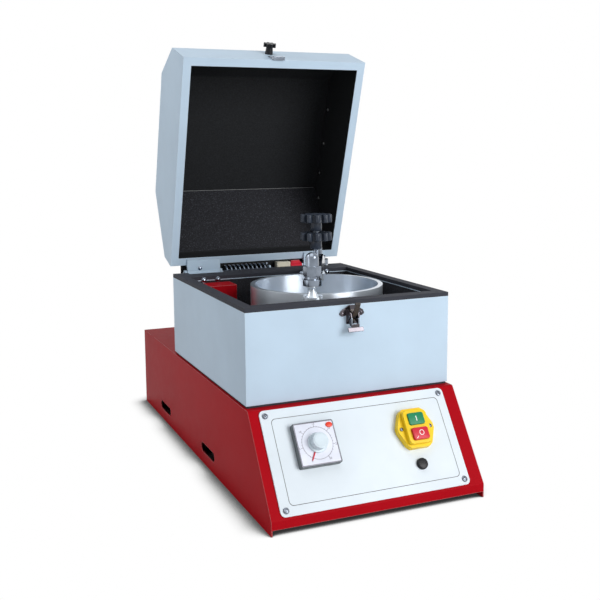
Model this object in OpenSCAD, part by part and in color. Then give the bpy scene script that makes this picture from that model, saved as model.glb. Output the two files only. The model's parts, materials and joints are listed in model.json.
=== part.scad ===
// Bench laboratory mill: a red desk-shaped base, a grey chamber with a hinged hood, and a
// steel bowl that orbits inside the chamber with a jar clamp over it.
// Frame: +X to the right of the person at the front, +Y to the rear, +Z up.
// Origin: the middle of the base's footprint, on the surface that it stands on.
// The hood is drawn open, as it stands when the mill is loaded.

/* [Base casing] */
// Width over the side panels
base_w = 386; // [384:1:400]
// Length from the front band to the rear panel
base_l = 800; // [780:1:840]
// Height of the flat deck
base_h = 170; // [160:1:190]
// Sheet thickness of the casing
base_sheet = 2; // [1.5:0.1:2.5]
// Length of the sloping front, measured along the floor
slope_run = 100; // [90:1:110]
// Height of the fold between the slope and the upright front band
band_top = 24; // [20:1:28]
// Height of the front band's lower edge above the feet
band_bottom = 10; // [6:1:11]
// Outer radius of the casing's bends
bend_r = 4; // [3:0.5:6]
// Length of a side slot
slot_l = 80; // [50:1:100]
// Height of a side slot
slot_h = 18; // [12:1:22]
// Height of the slots' centres
slot_z = 31; // [29:1:36]
// Distance of the front slots' centres behind the base's front
slot_front = 320; // [280:1:340]
// Distance between the front and rear slots' centres
slot_pitch = 301; // [260:1:320]
// Corner chamfer of a slot
slot_c = 5; // [2:1:6]
// Width of the inward flange along each side's lower edge
skirt_flange = 16; // [12:1:20]
// Distance of the mains inlet's middle from the left side
inlet_in = 73; // [50:1:100]
// Distance of the vents' middle from the right side
vent_in = 123; // [80:1:140]

/* [Front plate] */
// Width of the white control plate
plate_w = 343; // [320:1:346]
// Length of the plate down the slope
plate_h = 171; // [160:1:172]
// Plate thickness
plate_t = 2; // [1.5:0.5:3]
// Plate centre to the left of the middle
plate_left = 4; // [0:1:8]
// Distance of the plate's upper edge below the deck fold
plate_gap = 2.5; // [2:0.5:4]
// Corner radius of the plate
plate_r = 8; // [4:1:12]
// Distance of the plate screws from its edges
plate_screw_inset = 9.5; // [7:0.5:12]
// Head diameter of a plate screw
plate_screw_d = 10; // [7:0.5:11]

/* [Timer] */
// Side of the timer's square front
timer_s = 72; // [60:1:80]
// Thickness of the timer's front frame above the plate
timer_t = 11; // [8:0.5:14]
// Thickness of the dial sheet
dial_t = 1.5; // [1:0.5:2.5]
// Timer centre to the left of the middle
timer_left = 93; // [85:1:100]
// Timer centre below the deck fold, down the slope
timer_down = 70; // [60:1:80]
// Depth of the timer's case behind the plate
timer_depth = 55; // [30:1:60]
// Diameter of the timer knob's skirt
timer_skirt_d = 33; // [28:1:36]
// Diameter of the timer knob's grip
timer_grip_d = 26; // [20:1:27]
// Height of the timer knob
timer_knob_h = 16; // [12:1:20]
// Tip radius of the red setting pointer
pointer_r = 31; // [28:0.5:33]

/* [Start and stop switch] */
// Width of the yellow housing
switch_w = 68; // [64:1:74]
// Height of the yellow housing, along the slope
switch_h = 67; // [63:1:74]
// Height of the yellow housing's lower tier above the plate
switch_tier = 12; // [8:1:14]
// Height of the button frame above the lower tier
switch_rise = 8; // [6:1:12]
// Width of the button frame
frame_w = 44; // [40:1:46]
// Length of the button frame
frame_h = 57; // [54:1:60]
// Width of the two buttons
button_w = 29; // [26:1:32]
// Length of each button
button_h = 20; // [17:1:21]
// Height of the green button above its frame
start_proud = 2.5; // [2:0.5:4]
// Height of the red button above its frame
stop_proud = 4.5; // [3:0.5:6]
// Switch centre to the right of the middle
switch_right = 89; // [84:1:94]
// Switch centre below the deck fold, down the slope
switch_down = 69; // [62:1:74]
// Diameter of the round fuse cap
fuse_d = 19; // [15:1:22]
// Height of the fuse cap above the plate
fuse_h = 6; // [4:1:9]
// Fuse cap centre below the deck fold, down the slope
fuse_down = 128; // [122:1:140]
// Fuse cap centre to the right of the middle
fuse_right = 87; // [80:1:100]

/* [Chamber box] */
// Width of the grey chamber box
box_w = 380; // [376:1:382]
// Depth of the chamber box
box_d = 430; // [425:1:436]
// Height of the chamber box
box_h = 154; // [152:1:170]
// Sheet thickness of the box and the hood
box_sheet = 1.5; // [1:0.1:2]
// Distance of the box behind the deck fold
box_setback = 13; // [8:1:20]
// Height of the seal between the base and the box
deck_seal_h = 4; // [3:0.5:6]
// Width of the box's top flange along its sides
flange_side = 18.5; // [16:0.5:19]
// Width of the top flange along the front
flange_front = 25; // [22:0.5:26]
// Depth of the rear ledge that carries the hinge side of the seal
flange_rear = 66; // [60:1:67]
// Height of the rubber seal on the rim
gasket_h = 7; // [5:0.5:8]
// Thickness of the foam on the chamber's rear wall
rear_foam = 8; // [5:0.5:10]
// Thickness of the chamber's floor plate
floor_t = 4; // [3:0.5:6]
// Width of the red corner duct
duct_w = 79; // [60:1:80]
// Depth of the red corner duct
duct_d = 49; // [30:1:50]
// Distance of the duct's top below the box's rim
duct_drop = 6; // [6:1:20]

/* [Hood] */
// Height of the hood's upright front
hood_front_h = 81; // [75:1:90]
// Length of the front chamfer, seen from above
hood_chamfer = 65.5; // [55:0.5:75]
// Height of the hood over its rim
hood_h = 149; // [148:1:160]
// Distance from the hood's front to the end of its flat roof
hood_roof_end = 322; // [300:1:340]
// Height of the hood's upright rear
hood_rear_h = 48.5; // [45:0.5:60]
// Width of the hood's inward rim
hood_rim = 16; // [15:0.5:18]
// Thickness of the black lining in the hood
hood_foam = 5; // [3:0.5:7]
// Angle that the hood turns through between closed and open
hood_open = 72; // [60:1:80]
// Distance of the hinge line behind the box
hinge_back = 18; // [17.5:0.5:22]
// Distance of the hinge line below the top of the rim seal
hinge_drop = 6; // [5.5:0.5:7]
// Diameter of the hinge pins
pin_d = 10; // [8:0.5:11]
// Outer diameter of the hinge knuckles
knuckle_d = 17; // [15:0.5:17]
// Width of the left hinge arm
arm_left_w = 71; // [60:1:72]
// Width of the right hinge arm
arm_right_w = 49; // [40:1:50]
// Distance of each arm's outer end from the middle
arm_out = 156; // [150:1:160]
// Outer diameter of the hinge spring
spring_d = 30; // [22:1:31]
// Wire diameter of the hinge spring
spring_wire = 4; // [2.5:0.5:4.5]
// Turns of the hinge spring
spring_turns = 11; // [6:1:14]
// Length of the hinge spring
spring_l = 104; // [90:1:105]
// Diameter of the lid knob's head
lid_knob_d = 26; // [22:1:34]
// Height of the lid knob
lid_knob_h = 21; // [18:1:28]
// Distance of the lid knob above the hood's rim
lid_knob_up = 52; // [46:1:60]

/* [Draw latch] */
// Width over the latch plate's two wings
latch_w = 47; // [42:1:52]
// Height of the latch plate
latch_h = 32; // [30:1:34]
// Width of the latch lever
lever_w = 15; // [13:1:17]
// Width of the lever's finger lip
lip_w = 28; // [22:1:32]
// Angle that the free claw leans outward
claw_lean = 30; // [25:1:35]

/* [Bowl and jar clamp] */
// Outer diameter of the bowl
bowl_d = 249; // [230:1:250]
// Wall thickness of the bowl
bowl_wall = 8.5; // [5:0.5:12]
// Thickness of the bowl's bottom
bowl_bottom = 8; // [5:1:12]
// Distance of the bowl's rim below the top of the rim seal
rim_drop = 0.5; // [0:0.5:6]
// Angle of the clamp bridge, clockwise from straight back
bridge_turn = 27.5; // [20:0.5:35]
// Distance of each post outside the bowl's wall
post_out = 12.5; // [12:0.5:13]
// Width of the foot plates under the posts
foot_w = 34; // [28:1:35]
// Thickness of the foot plates
foot_t = 10; // [6:1:12]
// Diameter of the post's neck
neck_d = 13; // [11:0.5:16]
// Height from the foot plates to the underside of the bridge's ends
bridge_up = 20; // [18:1:24]
// Diameter of the bridge's round ends
pad_d = 34; // [30:1:38]
// Thickness of the bridge's ends
pad_t = 11; // [9:1:13]
// Width of the bridge between its ends
bridge_w = 26; // [22:1:30]
// Height of the bridge at its middle
bridge_h = 31; // [28:1:34]
// Rise of the bridge's underside between its ends
bridge_arch = 5; // [3:1:6]
// Width of the clamp nut over its flats
nut_af = 27; // [24:1:30]
// Height of the clamp nut's hexagon
nut_h = 18; // [16:1:20]
// Height of the dome on the clamp nut
dome_h = 24; // [18:1:26]
// Diameter of the clamp spindle
spindle_d = 11; // [10:0.5:12]
// Thread pitch of the clamp spindle
spindle_pitch = 4; // [2:0.5:6]
// Diameter of the pressure foot
press_d = 28; // [24:1:34]
// Diameter of the star knobs
star_d = 60; // [50:1:62]
// Thickness of the upper star knob
star_upper_t = 15; // [12:1:18]
// Thickness of the lower star knob
star_lower_t = 15; // [12:1:18]
// Lobes round each star knob
star_lobes = 10; // [8:1:12]
// Diameter of the knobs' hubs
hub_d = 21; // [18:0.5:24]
// Height of the spindle that shows between the bridge and the lower knob
spindle_show = 12; // [11:0.5:15]

/* [Drive] */
// Radius of the bowl's orbit
orbit_e = 24; // [18:0.5:24]
// Diameter of the main shaft
shaft_d = 25; // [20:1:28]
// Diameter of the rotor disc
rotor_d = 144; // [130:1:146]
// Thickness of the rotor and of the guide cranks
rotor_t = 12; // [8:1:14]
// Thickness of the counterweight
weight_t = 14; // [10:1:18]
// Diameter of the eccentric journal
journal_d = 30; // [24:1:34]
// Thickness of the orbit plate
orbit_plate_t = 10; // [8:1:14]
// Distance of the three guide cranks from the main shaft
crank_r = 112; // [112:0.5:113]
// Diameter of the guide cranks' pins
crank_pin_d = 12; // [8:0.5:14]
// Diameter of the driven pulley
driven_d = 150; // [120:1:170]
// Diameter of the motor's pulley
motor_pulley_d = 60; // [45:1:80]
// Height of both pulleys
pulley_h = 24; // [20:1:28]
// Height of the pulleys above the floor
pulley_z = 26; // [24:1:30]
// Diameter of the motor
motor_d = 150; // [120:1:160]
// Height of the motor
motor_h = 98; // [80:1:98]
// Distance of the motor's axis in front of the base's rear
motor_in = 135; // [115:1:140]

/* [Hidden] */
$fn = 64;
fit = 0.3;
bore_fit = 0.05;
through = 1;
small = 0.1;
front_y = -base_l / 2;
rear_y = base_l / 2;
rear_recess = 3;
rear_face = rear_y - rear_recess;
fold_y = front_y + slope_run;
slope_drop = base_h - band_top;
slope_angle = atan2(slope_drop, slope_run);
box_y = fold_y + box_setback;
box_rear = box_y + box_d;
box_z = base_h + deck_seal_h;
box_top = box_z + box_h;
seal_top = box_top + gasket_h;
mouth_x = box_w / 2 - flange_side;
mouth_y0 = box_y + flange_front;
mouth_y1 = box_rear - flange_rear;
axis_y = (mouth_y0 + mouth_y1) / 2;
hood_z = seal_top + fit;
hinge_y = box_rear + hinge_back;
hinge_z = seal_top - hinge_drop;
floor_top = box_z + floor_t;
housing_flange_t = 8;
housing_barrel = 92;
housing_d = 70;
housing_flange_d = 72;
rotor_gap = 1;
rotor_z = floor_top + housing_flange_t + rotor_gap;
rotor_top = rotor_z + rotor_t;
orbit_gap = 2;
orbit_z = rotor_top + weight_t + orbit_gap;
bowl_z = orbit_z + orbit_plate_t;
bowl_rim = seal_top - rim_drop;
bowl_x = orbit_e;
bearing_od = shaft_d + 27;
bearing_t = 15;
orbit_bearing_od = journal_d + 32;
orbit_bearing_t = 16;
orbit_hub_d = orbit_bearing_od + 18;
orbit_hub_t = 11;
crank_angles = [90, 210, 330];
crank_disc_d = 2 * orbit_e + 24;
crank_stub_d = 12;
crank_base_d = 30;
weight_in = 42;
weight_span = 70;
post_r = bowl_d / 2 + post_out;
foot_top = bowl_rim - 2.5;
collar_t = 3;
collar_d = neck_d + 6;
washer_t = 5;
bridge_z = foot_top + bridge_up;
pad_top = bridge_z + pad_t;
bridge_top = bridge_z + bridge_arch + bridge_h;
post_stud_d = 12;
pin_tip_d = 4.5;
lock_z = bridge_top + spindle_show;
hub_h = 16;
upper_z = lock_z + hub_h + star_lower_t + 3 + hub_h;
press_t = 10;
spindle_bottom = bridge_z - press_t;
seal_notch = 3;
wall_bolt_z = box_top;
wall_bolt_x = [for (f = [-0.382, -0.305, 0.176, 0.329]) f * box_w];
pulley_lip = 3;
bell_drop = 8;
motor_y = rear_y - motor_in;
motor_plate_t = 4;
motor_top = base_h - base_sheet - motor_plate_t;
floor_z = band_bottom + base_sheet;
plate_x = -plate_left;
latch_y = box_y;
latch_top = box_top;
sheet_s = 1.5;
lever_pin = [-10, -16];
claw_pin = [-6.5, -25];
claw_l = hood_z + fit + 2 - box_top - claw_pin.y;

red = "#B8142A";
grey = "#B9CAD8";
steel = "#A9ADB0";
bright = "#D5D8DA";
black = "#17181A";
yellow = "#F2C81E";

function unit(v) = v / norm(v);

// Points of one rounded corner at p, between its neighbours a and b
function corner(a, p, b, r, n) =
    r <= 0 ? [p] :
    let (
        u = unit(a - p),
        w = unit(b - p),
        half = acos(u * w) / 2,
        c = p + unit(u + w) * r / sin(half),
        s = p + u * r / tan(half) - c,
        e = p + w * r / tan(half) - c,
        from = atan2(s.y, s.x),
        sweep = (atan2(e.y, e.x) - from + 540) % 360 - 180
    )
    [for (i = [0 : n]) c + r * [cos(from + sweep * i / n), sin(from + sweep * i / n)]];

// An outline with its corners rounded by r, one radius or a list of them
function rounded(pts, r, n = 4) =
    let (k = len(pts))
    [for (i = [0 : k - 1]) each corner(pts[(i + k - 1) % k], pts[i], pts[(i + 1) % k], is_list(r) ? r[i] : r, n)];

// A convex, clockwise or anticlockwise outline moved inward by d
function inset(pts, d) =
    let (
        k = len(pts),
        mid = [for (i = [0 : 1]) let (s = [for (p = pts) p[i]]) s * [for (p = pts) 1] / k]
    )
    [for (i = [0 : k - 1])
        let (
            a = pts[(i + k - 1) % k],
            p = pts[i],
            b = pts[(i + 1) % k],
            n1 = inward(a, p, mid),
            n2 = inward(p, b, mid),
            det = n1.x * n2.y - n1.y * n2.x,
            k1 = n1 * p + d,
            k2 = n2 * p + d
        )
        [(k1 * n2.y - k2 * n1.y) / det, (n1.x * k2 - n2.x * k1) / det]];

function inward(a, b, mid) =
    let (t = unit(b - a), n = [-t.y, t.x])
    n * (mid - a) > 0 ? n : -n;

function rect(w, h) = [[-w / 2, -h / 2], [w / 2, -h / 2], [w / 2, h / 2], [-w / 2, h / 2]];

// A profile drawn in Y and Z, extruded along X between x0 and x1
module along_x(x0, x1) {
    translate([x0, 0, 0])
        rotate([90, 0, 90])
            linear_extrude(x1 - x0)
                children();
}

// Local frame of the sloping front: Z out of the slope, Y up it, origin at the deck fold
module on_slope(x = 0, down = 0, up = 0) {
    translate([0, fold_y, base_h])
        rotate([slope_angle, 0, 0])
            translate([x, -down, up])
                children();
}

// The hood's pieces are drawn closed and turned open about the hinge line
module hood_pose() {
    translate([0, hinge_y, hinge_z])
        rotate([-hood_open, 0, 0])
            translate([0, -hinge_y, -hinge_z])
                children();
}

module at_axis() {
    translate([0, axis_y, 0])
        children();
}

module at_bowl() {
    translate([bowl_x, axis_y, 0])
        children();
}

// The bridge's frame: local Y runs along the bridge, away from the front post
module on_bridge() {
    at_bowl()
        rotate([0, 0, -bridge_turn])
            children();
}

module ring(od, id, h) {
    difference() {
        cylinder(d = od, h = h);
        translate([0, 0, -through])
            cylinder(d = id, h = h + 2 * through);
    }
}

module dome_screw(d, h) {
    intersection() {
        cylinder(d = d, h = h);
        translate([0, 0, h - d * 0.75])
            sphere(d = d * 1.5);
    }
}

// Base

function base_outline(d = 0) = [
    [front_y + d, -through * (d > 0 ? 1 : 0)],
    [front_y + d, band_top],
    [fold_y + d * (1 / sin(slope_angle) - 1 / tan(slope_angle)), base_h - d],
    [rear_y, base_h - d],
    [rear_y, -through * (d > 0 ? 1 : 0)]
];

module side_slots() {
    for (side = [-1, 1])
        for (i = [0, 1])
            translate([side * base_w / 2, front_y + slot_front + i * slot_pitch, slot_z])
                rotate([90, 0, 90])
                    linear_extrude(4 * base_sheet, center = true)
                        polygon(rounded(rect(slot_l, slot_h), slot_c, 1));
}

module base_casing() {
    color(red)
        difference() {
            along_x(-base_w / 2, base_w / 2)
                polygon(rounded(base_outline(), [0, bend_r, bend_r, bend_r / 2, 0]));
            difference() {
                along_x(-base_w / 2 + base_sheet, base_w / 2 - base_sheet)
                    polygon(rounded(base_outline(base_sheet), [0, bend_r / 2, bend_r / 2, 0, 0]));
                for (side = [-1, 1])
                    translate([side * (base_w / 2 - base_sheet - skirt_flange / 2), 0, band_bottom + base_sheet / 2])
                        cube([skirt_flange, base_l - 4 * base_sheet, base_sheet], center = true);
            }
            translate([-base_w / 2 + base_sheet, front_y - through, -through])
                cube([base_w - 2 * base_sheet, 2 * base_sheet + through, band_bottom + through]);
            side_slots();
            at_axis()
                translate([0, 0, base_h - 2 * base_sheet])
                    cylinder(d = housing_d + 4, h = 4 * base_sheet);
            on_slope(-timer_left, timer_down, 0)
                cube([timer_s - 3, timer_s - 3, 4 * base_sheet], center = true);
            on_slope(switch_right, switch_down, 0)
                cube([button_w + 6, frame_h - 10, 4 * base_sheet], center = true);
            on_slope(fuse_right, fuse_down, -2 * base_sheet)
                cylinder(d = fuse_d - 4, h = 4 * base_sheet);
        }
}

module rear_panel() {
    vent_w = 90;
    color(red)
        difference() {
            translate([-base_w / 2 + base_sheet + fit, rear_face - base_sheet, floor_z + fit])
                cube([base_w - 2 * (base_sheet + fit), base_sheet, base_h - base_sheet - 2 * fit - floor_z]);
            for (i = [0 : 5])
                translate([vent_x - vent_w / 2, rear_face - 2 * base_sheet, 60 + 14 * i])
                    cube([vent_w, 4 * base_sheet, 5]);
            translate([inlet_x, rear_face, inlet_z])
                cube([inlet_w - 8, 4 * base_sheet, inlet_h - 8], center = true);
        }
}

inlet_w = 50;
inlet_h = 32;
inlet_x = -base_w / 2 + inlet_in;
inlet_z = band_bottom + inlet_w;
vent_x = base_w / 2 - vent_in;

module bottom_plate() {
    color(steel)
        translate([-base_w / 2 + base_sheet + fit, front_y + 3 * base_sheet, floor_z])
            cube([base_w - 2 * (base_sheet + fit), base_l - rear_recess - 4 * base_sheet - fit, base_sheet]);
}

module power_inlet() {
    color(black)
        difference() {
            union() {
                translate([inlet_x, rear_face + 1.5, inlet_z])
                    cube([inlet_w, 3, inlet_h], center = true);
                translate([inlet_x, rear_face - 14, inlet_z])
                    cube([inlet_w - 9, 30, inlet_h - 9], center = true);
            }
            translate([inlet_x, rear_face - 4, inlet_z])
                cube([25, 20, 17], center = true);
        }
}

// Controls

module front_plate() {
    color("#F3FAFD")
        on_slope(plate_x, plate_gap + plate_h / 2, 0)
            difference() {
                linear_extrude(plate_t)
                    polygon(rounded(rect(plate_w, plate_h), plate_r));
                translate([-timer_left - plate_x, plate_gap + plate_h / 2 - timer_down, 0])
                    cube([timer_s - 3, timer_s - 3, 4 * plate_t], center = true);
                translate([switch_right - plate_x, plate_gap + plate_h / 2 - switch_down, 0])
                    cube([button_w + 6, frame_h - 10, 4 * plate_t], center = true);
                translate([fuse_right - plate_x, plate_gap + plate_h / 2 - fuse_down, -through])
                    cylinder(d = fuse_d - 4, h = plate_t + 2 * through);
            }
}

module panel_screws() {
    color(bright) {
        for (sx = [-1, 1])
            for (sy = [-1, 1])
                on_slope(
                    plate_x + sx * (plate_w / 2 - plate_screw_inset),
                    plate_gap + plate_h / 2 + sy * (plate_h / 2 - plate_screw_inset),
                    plate_t
                )
                    dome_screw(plate_screw_d, 2.5);
        for (s = [-1, 1])
            on_slope(switch_right + s * (switch_w / 2 - 6.5), switch_down, plate_t + switch_tier)
                dome_screw(6.5, 2);
        for (x = [-1, 0, 1])
            for (z = [band_bottom + 14, base_h - 14])
                translate([x * (base_w / 2 - 14), rear_face, z])
                    rotate([-90, 0, 0])
                        dome_screw(8, 2.5);
    }
}

module timer_body() {
    color("#6E7478")
        on_slope(-timer_left, timer_down, plate_t) {
            linear_extrude(timer_t)
                polygon(rounded(rect(timer_s, timer_s), 3));
            translate([0, 0, -timer_depth / 2])
                cube([timer_s - 4, timer_s - 4, timer_depth], center = true);
        }
}

module timer_dial() {
    color("#DDE0F0")
        on_slope(-timer_left, timer_down, plate_t + timer_t)
            linear_extrude(dial_t)
                polygon(rounded(rect(timer_s - 3, timer_s - 3), 2));
}

module timer_lamp() {
    color("#E04A38")
        on_slope(-timer_left + timer_s / 2 - 9, timer_down - timer_s / 2 + 9, plate_t + timer_t + dial_t)
            linear_extrude(2)
                polygon(rounded(rect(12, 9), 4));
}

module timer_knob() {
    skirt_t = 3;
    color("#D3E4EC")
        on_slope(-timer_left, timer_down, plate_t + timer_t + dial_t + fit) {
            cylinder(d = timer_skirt_d, h = skirt_t);
            translate([0, 0, skirt_t])
                cylinder(d = timer_grip_d, h = timer_knob_h - skirt_t);
        }
}

module timer_pointer() {
    color("#D8283A")
        on_slope(-timer_left, timer_down, plate_t + timer_t + dial_t + fit)
            rotate([0, 0, -120])
                translate([timer_skirt_d / 2 + bore_fit, -1, 0])
                    cube([pointer_r - timer_skirt_d / 2 - bore_fit, 2, 1.5]);
}

function switch_outline() =
    let (w = switch_w / 2, h = switch_h / 2)
    [[-w, 4], [-w, -4], [-w + 11, -h + 5], [-w + 17, -h], [w - 17, -h], [w - 11, -h + 5],
     [w, -4], [w, 4], [w - 11, h - 5], [w - 17, h], [-w + 17, h], [-w + 11, h - 5]];

module button_wells(up, depth, extra) {
    for (s = [-1, 1])
        translate([0, s * (button_h / 2 + 3), up + depth / 2])
            cube([button_w + extra, button_h + extra, depth], center = true);
}

module switch_housing() {
    color(yellow)
        on_slope(switch_right, switch_down, plate_t)
            difference() {
                union() {
                    linear_extrude(switch_tier)
                        polygon(rounded(switch_outline(), 2, 2));
                    linear_extrude(switch_tier + switch_rise)
                        polygon(rounded(rect(frame_w, frame_h), 6));
                    translate([0, 0, -20])
                        linear_extrude(20)
                            polygon(rect(button_w + 4, frame_h - 12));
                }
                button_wells(2, switch_tier + switch_rise, 2 * fit);
            }
}

module push_button(s, proud, tint) {
    foot = 6;
    color(tint)
        on_slope(switch_right, switch_down - s * (button_h / 2 + 3), plate_t + foot)
            linear_extrude(switch_tier + switch_rise - foot + proud)
                polygon(rounded(rect(button_w, button_h), 2.5));
}

module start_button() {
    push_button(1, start_proud, "#158556");
}

module stop_button() {
    push_button(-1, stop_proud, "#C3243A");
}

module fuse_holder() {
    color(black)
        on_slope(fuse_right, fuse_down, 0) {
            translate([0, 0, plate_t])
                ring(fuse_d, fuse_d - 7, 2);
            translate([0, 0, -30])
                difference() {
                    cylinder(d = fuse_d - 5, h = 32 + plate_t);
                    translate([0, 0, 10])
                        cylinder(d = fuse_d - 9, h = 40);
                }
        }
}

module fuse_cap() {
    color(black)
        on_slope(fuse_right, fuse_down, plate_t + 2 + fit)
            difference() {
                union() {
                    cylinder(d1 = fuse_d, d2 = fuse_d - 2, h = fuse_h - 2);
                    translate([0, 0, -16])
                        cylinder(d = fuse_d - 10, h = 17);
                }
                translate([0, 0, fuse_h - 2])
                    cube([fuse_d - 7, 2, 3], center = true);
            }
}

// Chamber

module frame_xy(w, y0, y1, h) {
    translate([-w / 2, y0, 0])
        cube([w, y1 - y0, h]);
}

module deck_seal() {
    inset_edge = 2;
    seal_w = 14;
    color(black)
        translate([0, 0, base_h])
            difference() {
                frame_xy(box_w - 2 * inset_edge, box_y + inset_edge, box_rear - inset_edge, deck_seal_h);
                translate([0, 0, -through])
                    frame_xy(box_w - 2 * seal_w, box_y + seal_w, box_rear - seal_w, deck_seal_h + 2 * through);
            }
}

module chamber_box() {
    s = box_sheet;
    color(grey)
        translate([0, 0, box_z])
            difference() {
                frame_xy(box_w, box_y, box_rear, box_h);
                translate([0, 0, -through])
                    frame_xy(box_w - 2 * s, box_y + s, mouth_y1 + rear_foam, box_h - s + through);
                translate([0, 0, -through])
                    frame_xy(box_w - 2 * s, mouth_y1 + rear_foam + s, box_rear - s, box_h - s + through);
                frame_xy(2 * mouth_x, mouth_y0, mouth_y1, box_h + through);
            }
}

module chamber_floor() {
    color(steel)
        translate([0, 0, box_z])
            difference() {
                frame_xy(box_w - 2 * (box_sheet + fit), box_y + box_sheet + fit, mouth_y1 + rear_foam - fit, floor_t);
                at_axis()
                    translate([0, 0, -through])
                        cylinder(d = housing_d + 1, h = floor_t + 2 * through);
                for (a = crank_angles)
                    at_axis()
                        translate([crank_r * cos(a), crank_r * sin(a), -through])
                            cylinder(d = crank_stub_d + 4, h = floor_t + 2 * through);
            }
        // Guide crank bearings welded to the floor plate
    color(steel)
        at_axis()
            for (a = crank_angles)
                translate([crank_r * cos(a), crank_r * sin(a), box_z])
                    ring(crank_base_d, crank_stub_d + 2 * bore_fit, floor_t + housing_flange_t);
}

module chamber_lining() {
    s = box_sheet + fit;
    color("#1D1E20")
        translate([0, 0, floor_top + fit])
            difference() {
                frame_xy(box_w - 2 * s, box_y + s, mouth_y1 + rear_foam - fit, box_top - box_sheet - floor_top - 2 * fit);
                translate([0, 0, -through])
                    frame_xy(2 * mouth_x, mouth_y0, mouth_y1, box_h + 2 * through);
            }
}

module arm_notches(z, h) {
    for (side = [[-arm_out, arm_left_w], [arm_out - arm_right_w, arm_right_w]])
        translate([side[0] - seal_notch, hinge_y - hinge_back - hood_rim - seal_notch, z])
            cube([side[1] + 2 * seal_notch, hood_rim + seal_notch + through, h]);
}

module rim_seal() {
    color("#33343B")
        difference() {
            translate([0, 0, box_top])
                difference() {
                    frame_xy(box_w, box_y, box_rear, gasket_h);
                    translate([0, 0, -through])
                        frame_xy(2 * mouth_x, mouth_y0, mouth_y1, gasket_h + 2 * through);
                }
            arm_notches(box_top - through, gasket_h + 2 * through);
        }
}

module corner_duct() {
    color(red)
        translate([-mouth_x + fit, mouth_y1 - duct_d, floor_top + fit])
            linear_extrude(box_top - duct_drop - floor_top)
                polygon(rounded([[0, 0], [duct_w, 0], [duct_w, duct_d - fit], [0, duct_d - fit]], [0, 2, 0, 0]));
}

module wall_bolts() {
    color(bright)
        for (x = wall_bolt_x)
            translate([x, mouth_y1, wall_bolt_z])
                rotate([90, 0, 0]) {
                    cylinder(d = 11, h = 1.2);
                    translate([0, 0, 1.2])
                        dome_screw(8.5, 3.4);
                }
}

// Draw latch: lever_pin and claw_pin are places in Y and Z from the box's upper front edge

// The plate with its ears, the lever's two pins and the two screws
module latch_plate() {
    latch_pins();
    w = latch_w / 2;
    ear_x = lever_w / 2 + fit;
    color(bright) {
        translate([0, latch_y, latch_top - 1])
            rotate([90, 0, 0])
                difference() {
                    linear_extrude(sheet_s)
                        polygon(rounded([
                            [-5, 0], [5, 0], [w - 3, -9], [w, -15], [w - 5, -19], [10, -17], [10, -latch_h],
                            [-10, -latch_h], [-10, -17], [-w + 5, -19], [-w, -15], [-w + 3, -9]
                        ], [1, 1, 2, 2, 2, 1, 1, 1, 1, 2, 2, 2]));
                    for (s = [-1, 1])
                        translate([s * (w - 6), -14, -through])
                            cylinder(d = 3.4, h = sheet_s + 2 * through);
                }
        for (s = [-1, 1])
            translate([s * ear_x + (s < 0 ? -sheet_s : 0), 0, 0])
                along_x(0, sheet_s)
                    difference() {
                        polygon(rounded([
                            [latch_y - sheet_s + small, latch_top - 8], [latch_y + lever_pin[0] - 3, latch_top - 12],
                            [latch_y + lever_pin[0] - 3, latch_top - 20], [latch_y - sheet_s + small, latch_top - 28]
                        ], [0, 2, 2, 0]));
                        translate([latch_y + lever_pin[0], latch_top + lever_pin[1]])
                            circle(d = 3 + 2 * bore_fit);
                    }
    }
}

module latch_lever() {
    x = lever_w / 2;
    web_y = latch_y - 15;
    color(bright) {
        for (s = [-1, 1])
            translate([s * x + (s > 0 ? -1.2 : 0), 0, 0])
                along_x(0, 1.2)
                    difference() {
                        polygon([
                            [latch_y + lever_pin[0] + 3, latch_top + lever_pin[1] + 3],
                            [latch_y + lever_pin[0] - 3, latch_top + lever_pin[1] + 3],
                            [web_y, latch_top - 20], [web_y, latch_top - 36],
                            [web_y + 6, latch_top - 34], [latch_y + claw_pin[0] + 3, latch_top + claw_pin[1] - 3]
                        ]);
                        translate([latch_y + lever_pin[0], latch_top + lever_pin[1]])
                            circle(d = 3 + 2 * bore_fit);
                    }
        translate([0, latch_y + claw_pin[0], latch_top + claw_pin[1]])
            rotate([0, 90, 0])
                cylinder(d = 3, h = lever_w - 1, center = true);
        along_x(-x + 0.3, x - 0.3)
            polygon([
                [web_y + 0.4, latch_top - 31.5], [web_y - 1.2, latch_top - 31.5],
                [web_y - 1.2, latch_top - 37.5], [web_y + 0.4, latch_top - 37.5]
            ]);
        along_x(-lip_w / 2, lip_w / 2)
            polygon([
                [web_y + 0.2, latch_top - 36.8], [web_y - 1, latch_top - 36.8], [web_y - 4, latch_top - 43],
                [web_y - 2.5, latch_top - 44]
            ]);
    }
}

// The claw is drawn upright and leans out about its pin
module latch_claw() {
    w = lever_w - 6;
    color(bright)
        translate([0, latch_y + claw_pin[0], latch_top + claw_pin[1]])
            rotate([claw_lean, 0, 0])
                difference() {
                    union() {
                        along_x(-w / 2, w / 2)
                            polygon([
                                [-0.8, 0], [-0.8, claw_l - 2], [0.8, claw_l - 2], [0.8, claw_l - 3.5],
                                [2, claw_l - 3.5], [2, claw_l], [-2, claw_l], [-2, 0]
                            ]);
                        rotate([0, 90, 0])
                            cylinder(d = 5.4, h = w, center = true);
                    }
                    rotate([0, 90, 0])
                        cylinder(d = 3 + 2 * bore_fit, h = w + 2, center = true);
                }
}

module latch_pins() {
    color(bright) {
        for (s = [-1, 1])
            translate([s * (lever_w / 2 + 0.6), latch_y + lever_pin[0], latch_top + lever_pin[1]])
                rotate([0, 90, 0])
                    cylinder(d = 3, h = 4.2, center = true);
        for (s = [-1, 1])
            translate([s * (latch_w / 2 - 6), latch_y - sheet_s, latch_top - 15])
                rotate([90, 0, 0])
                    dome_screw(6, 1.8);
    }
}

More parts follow.
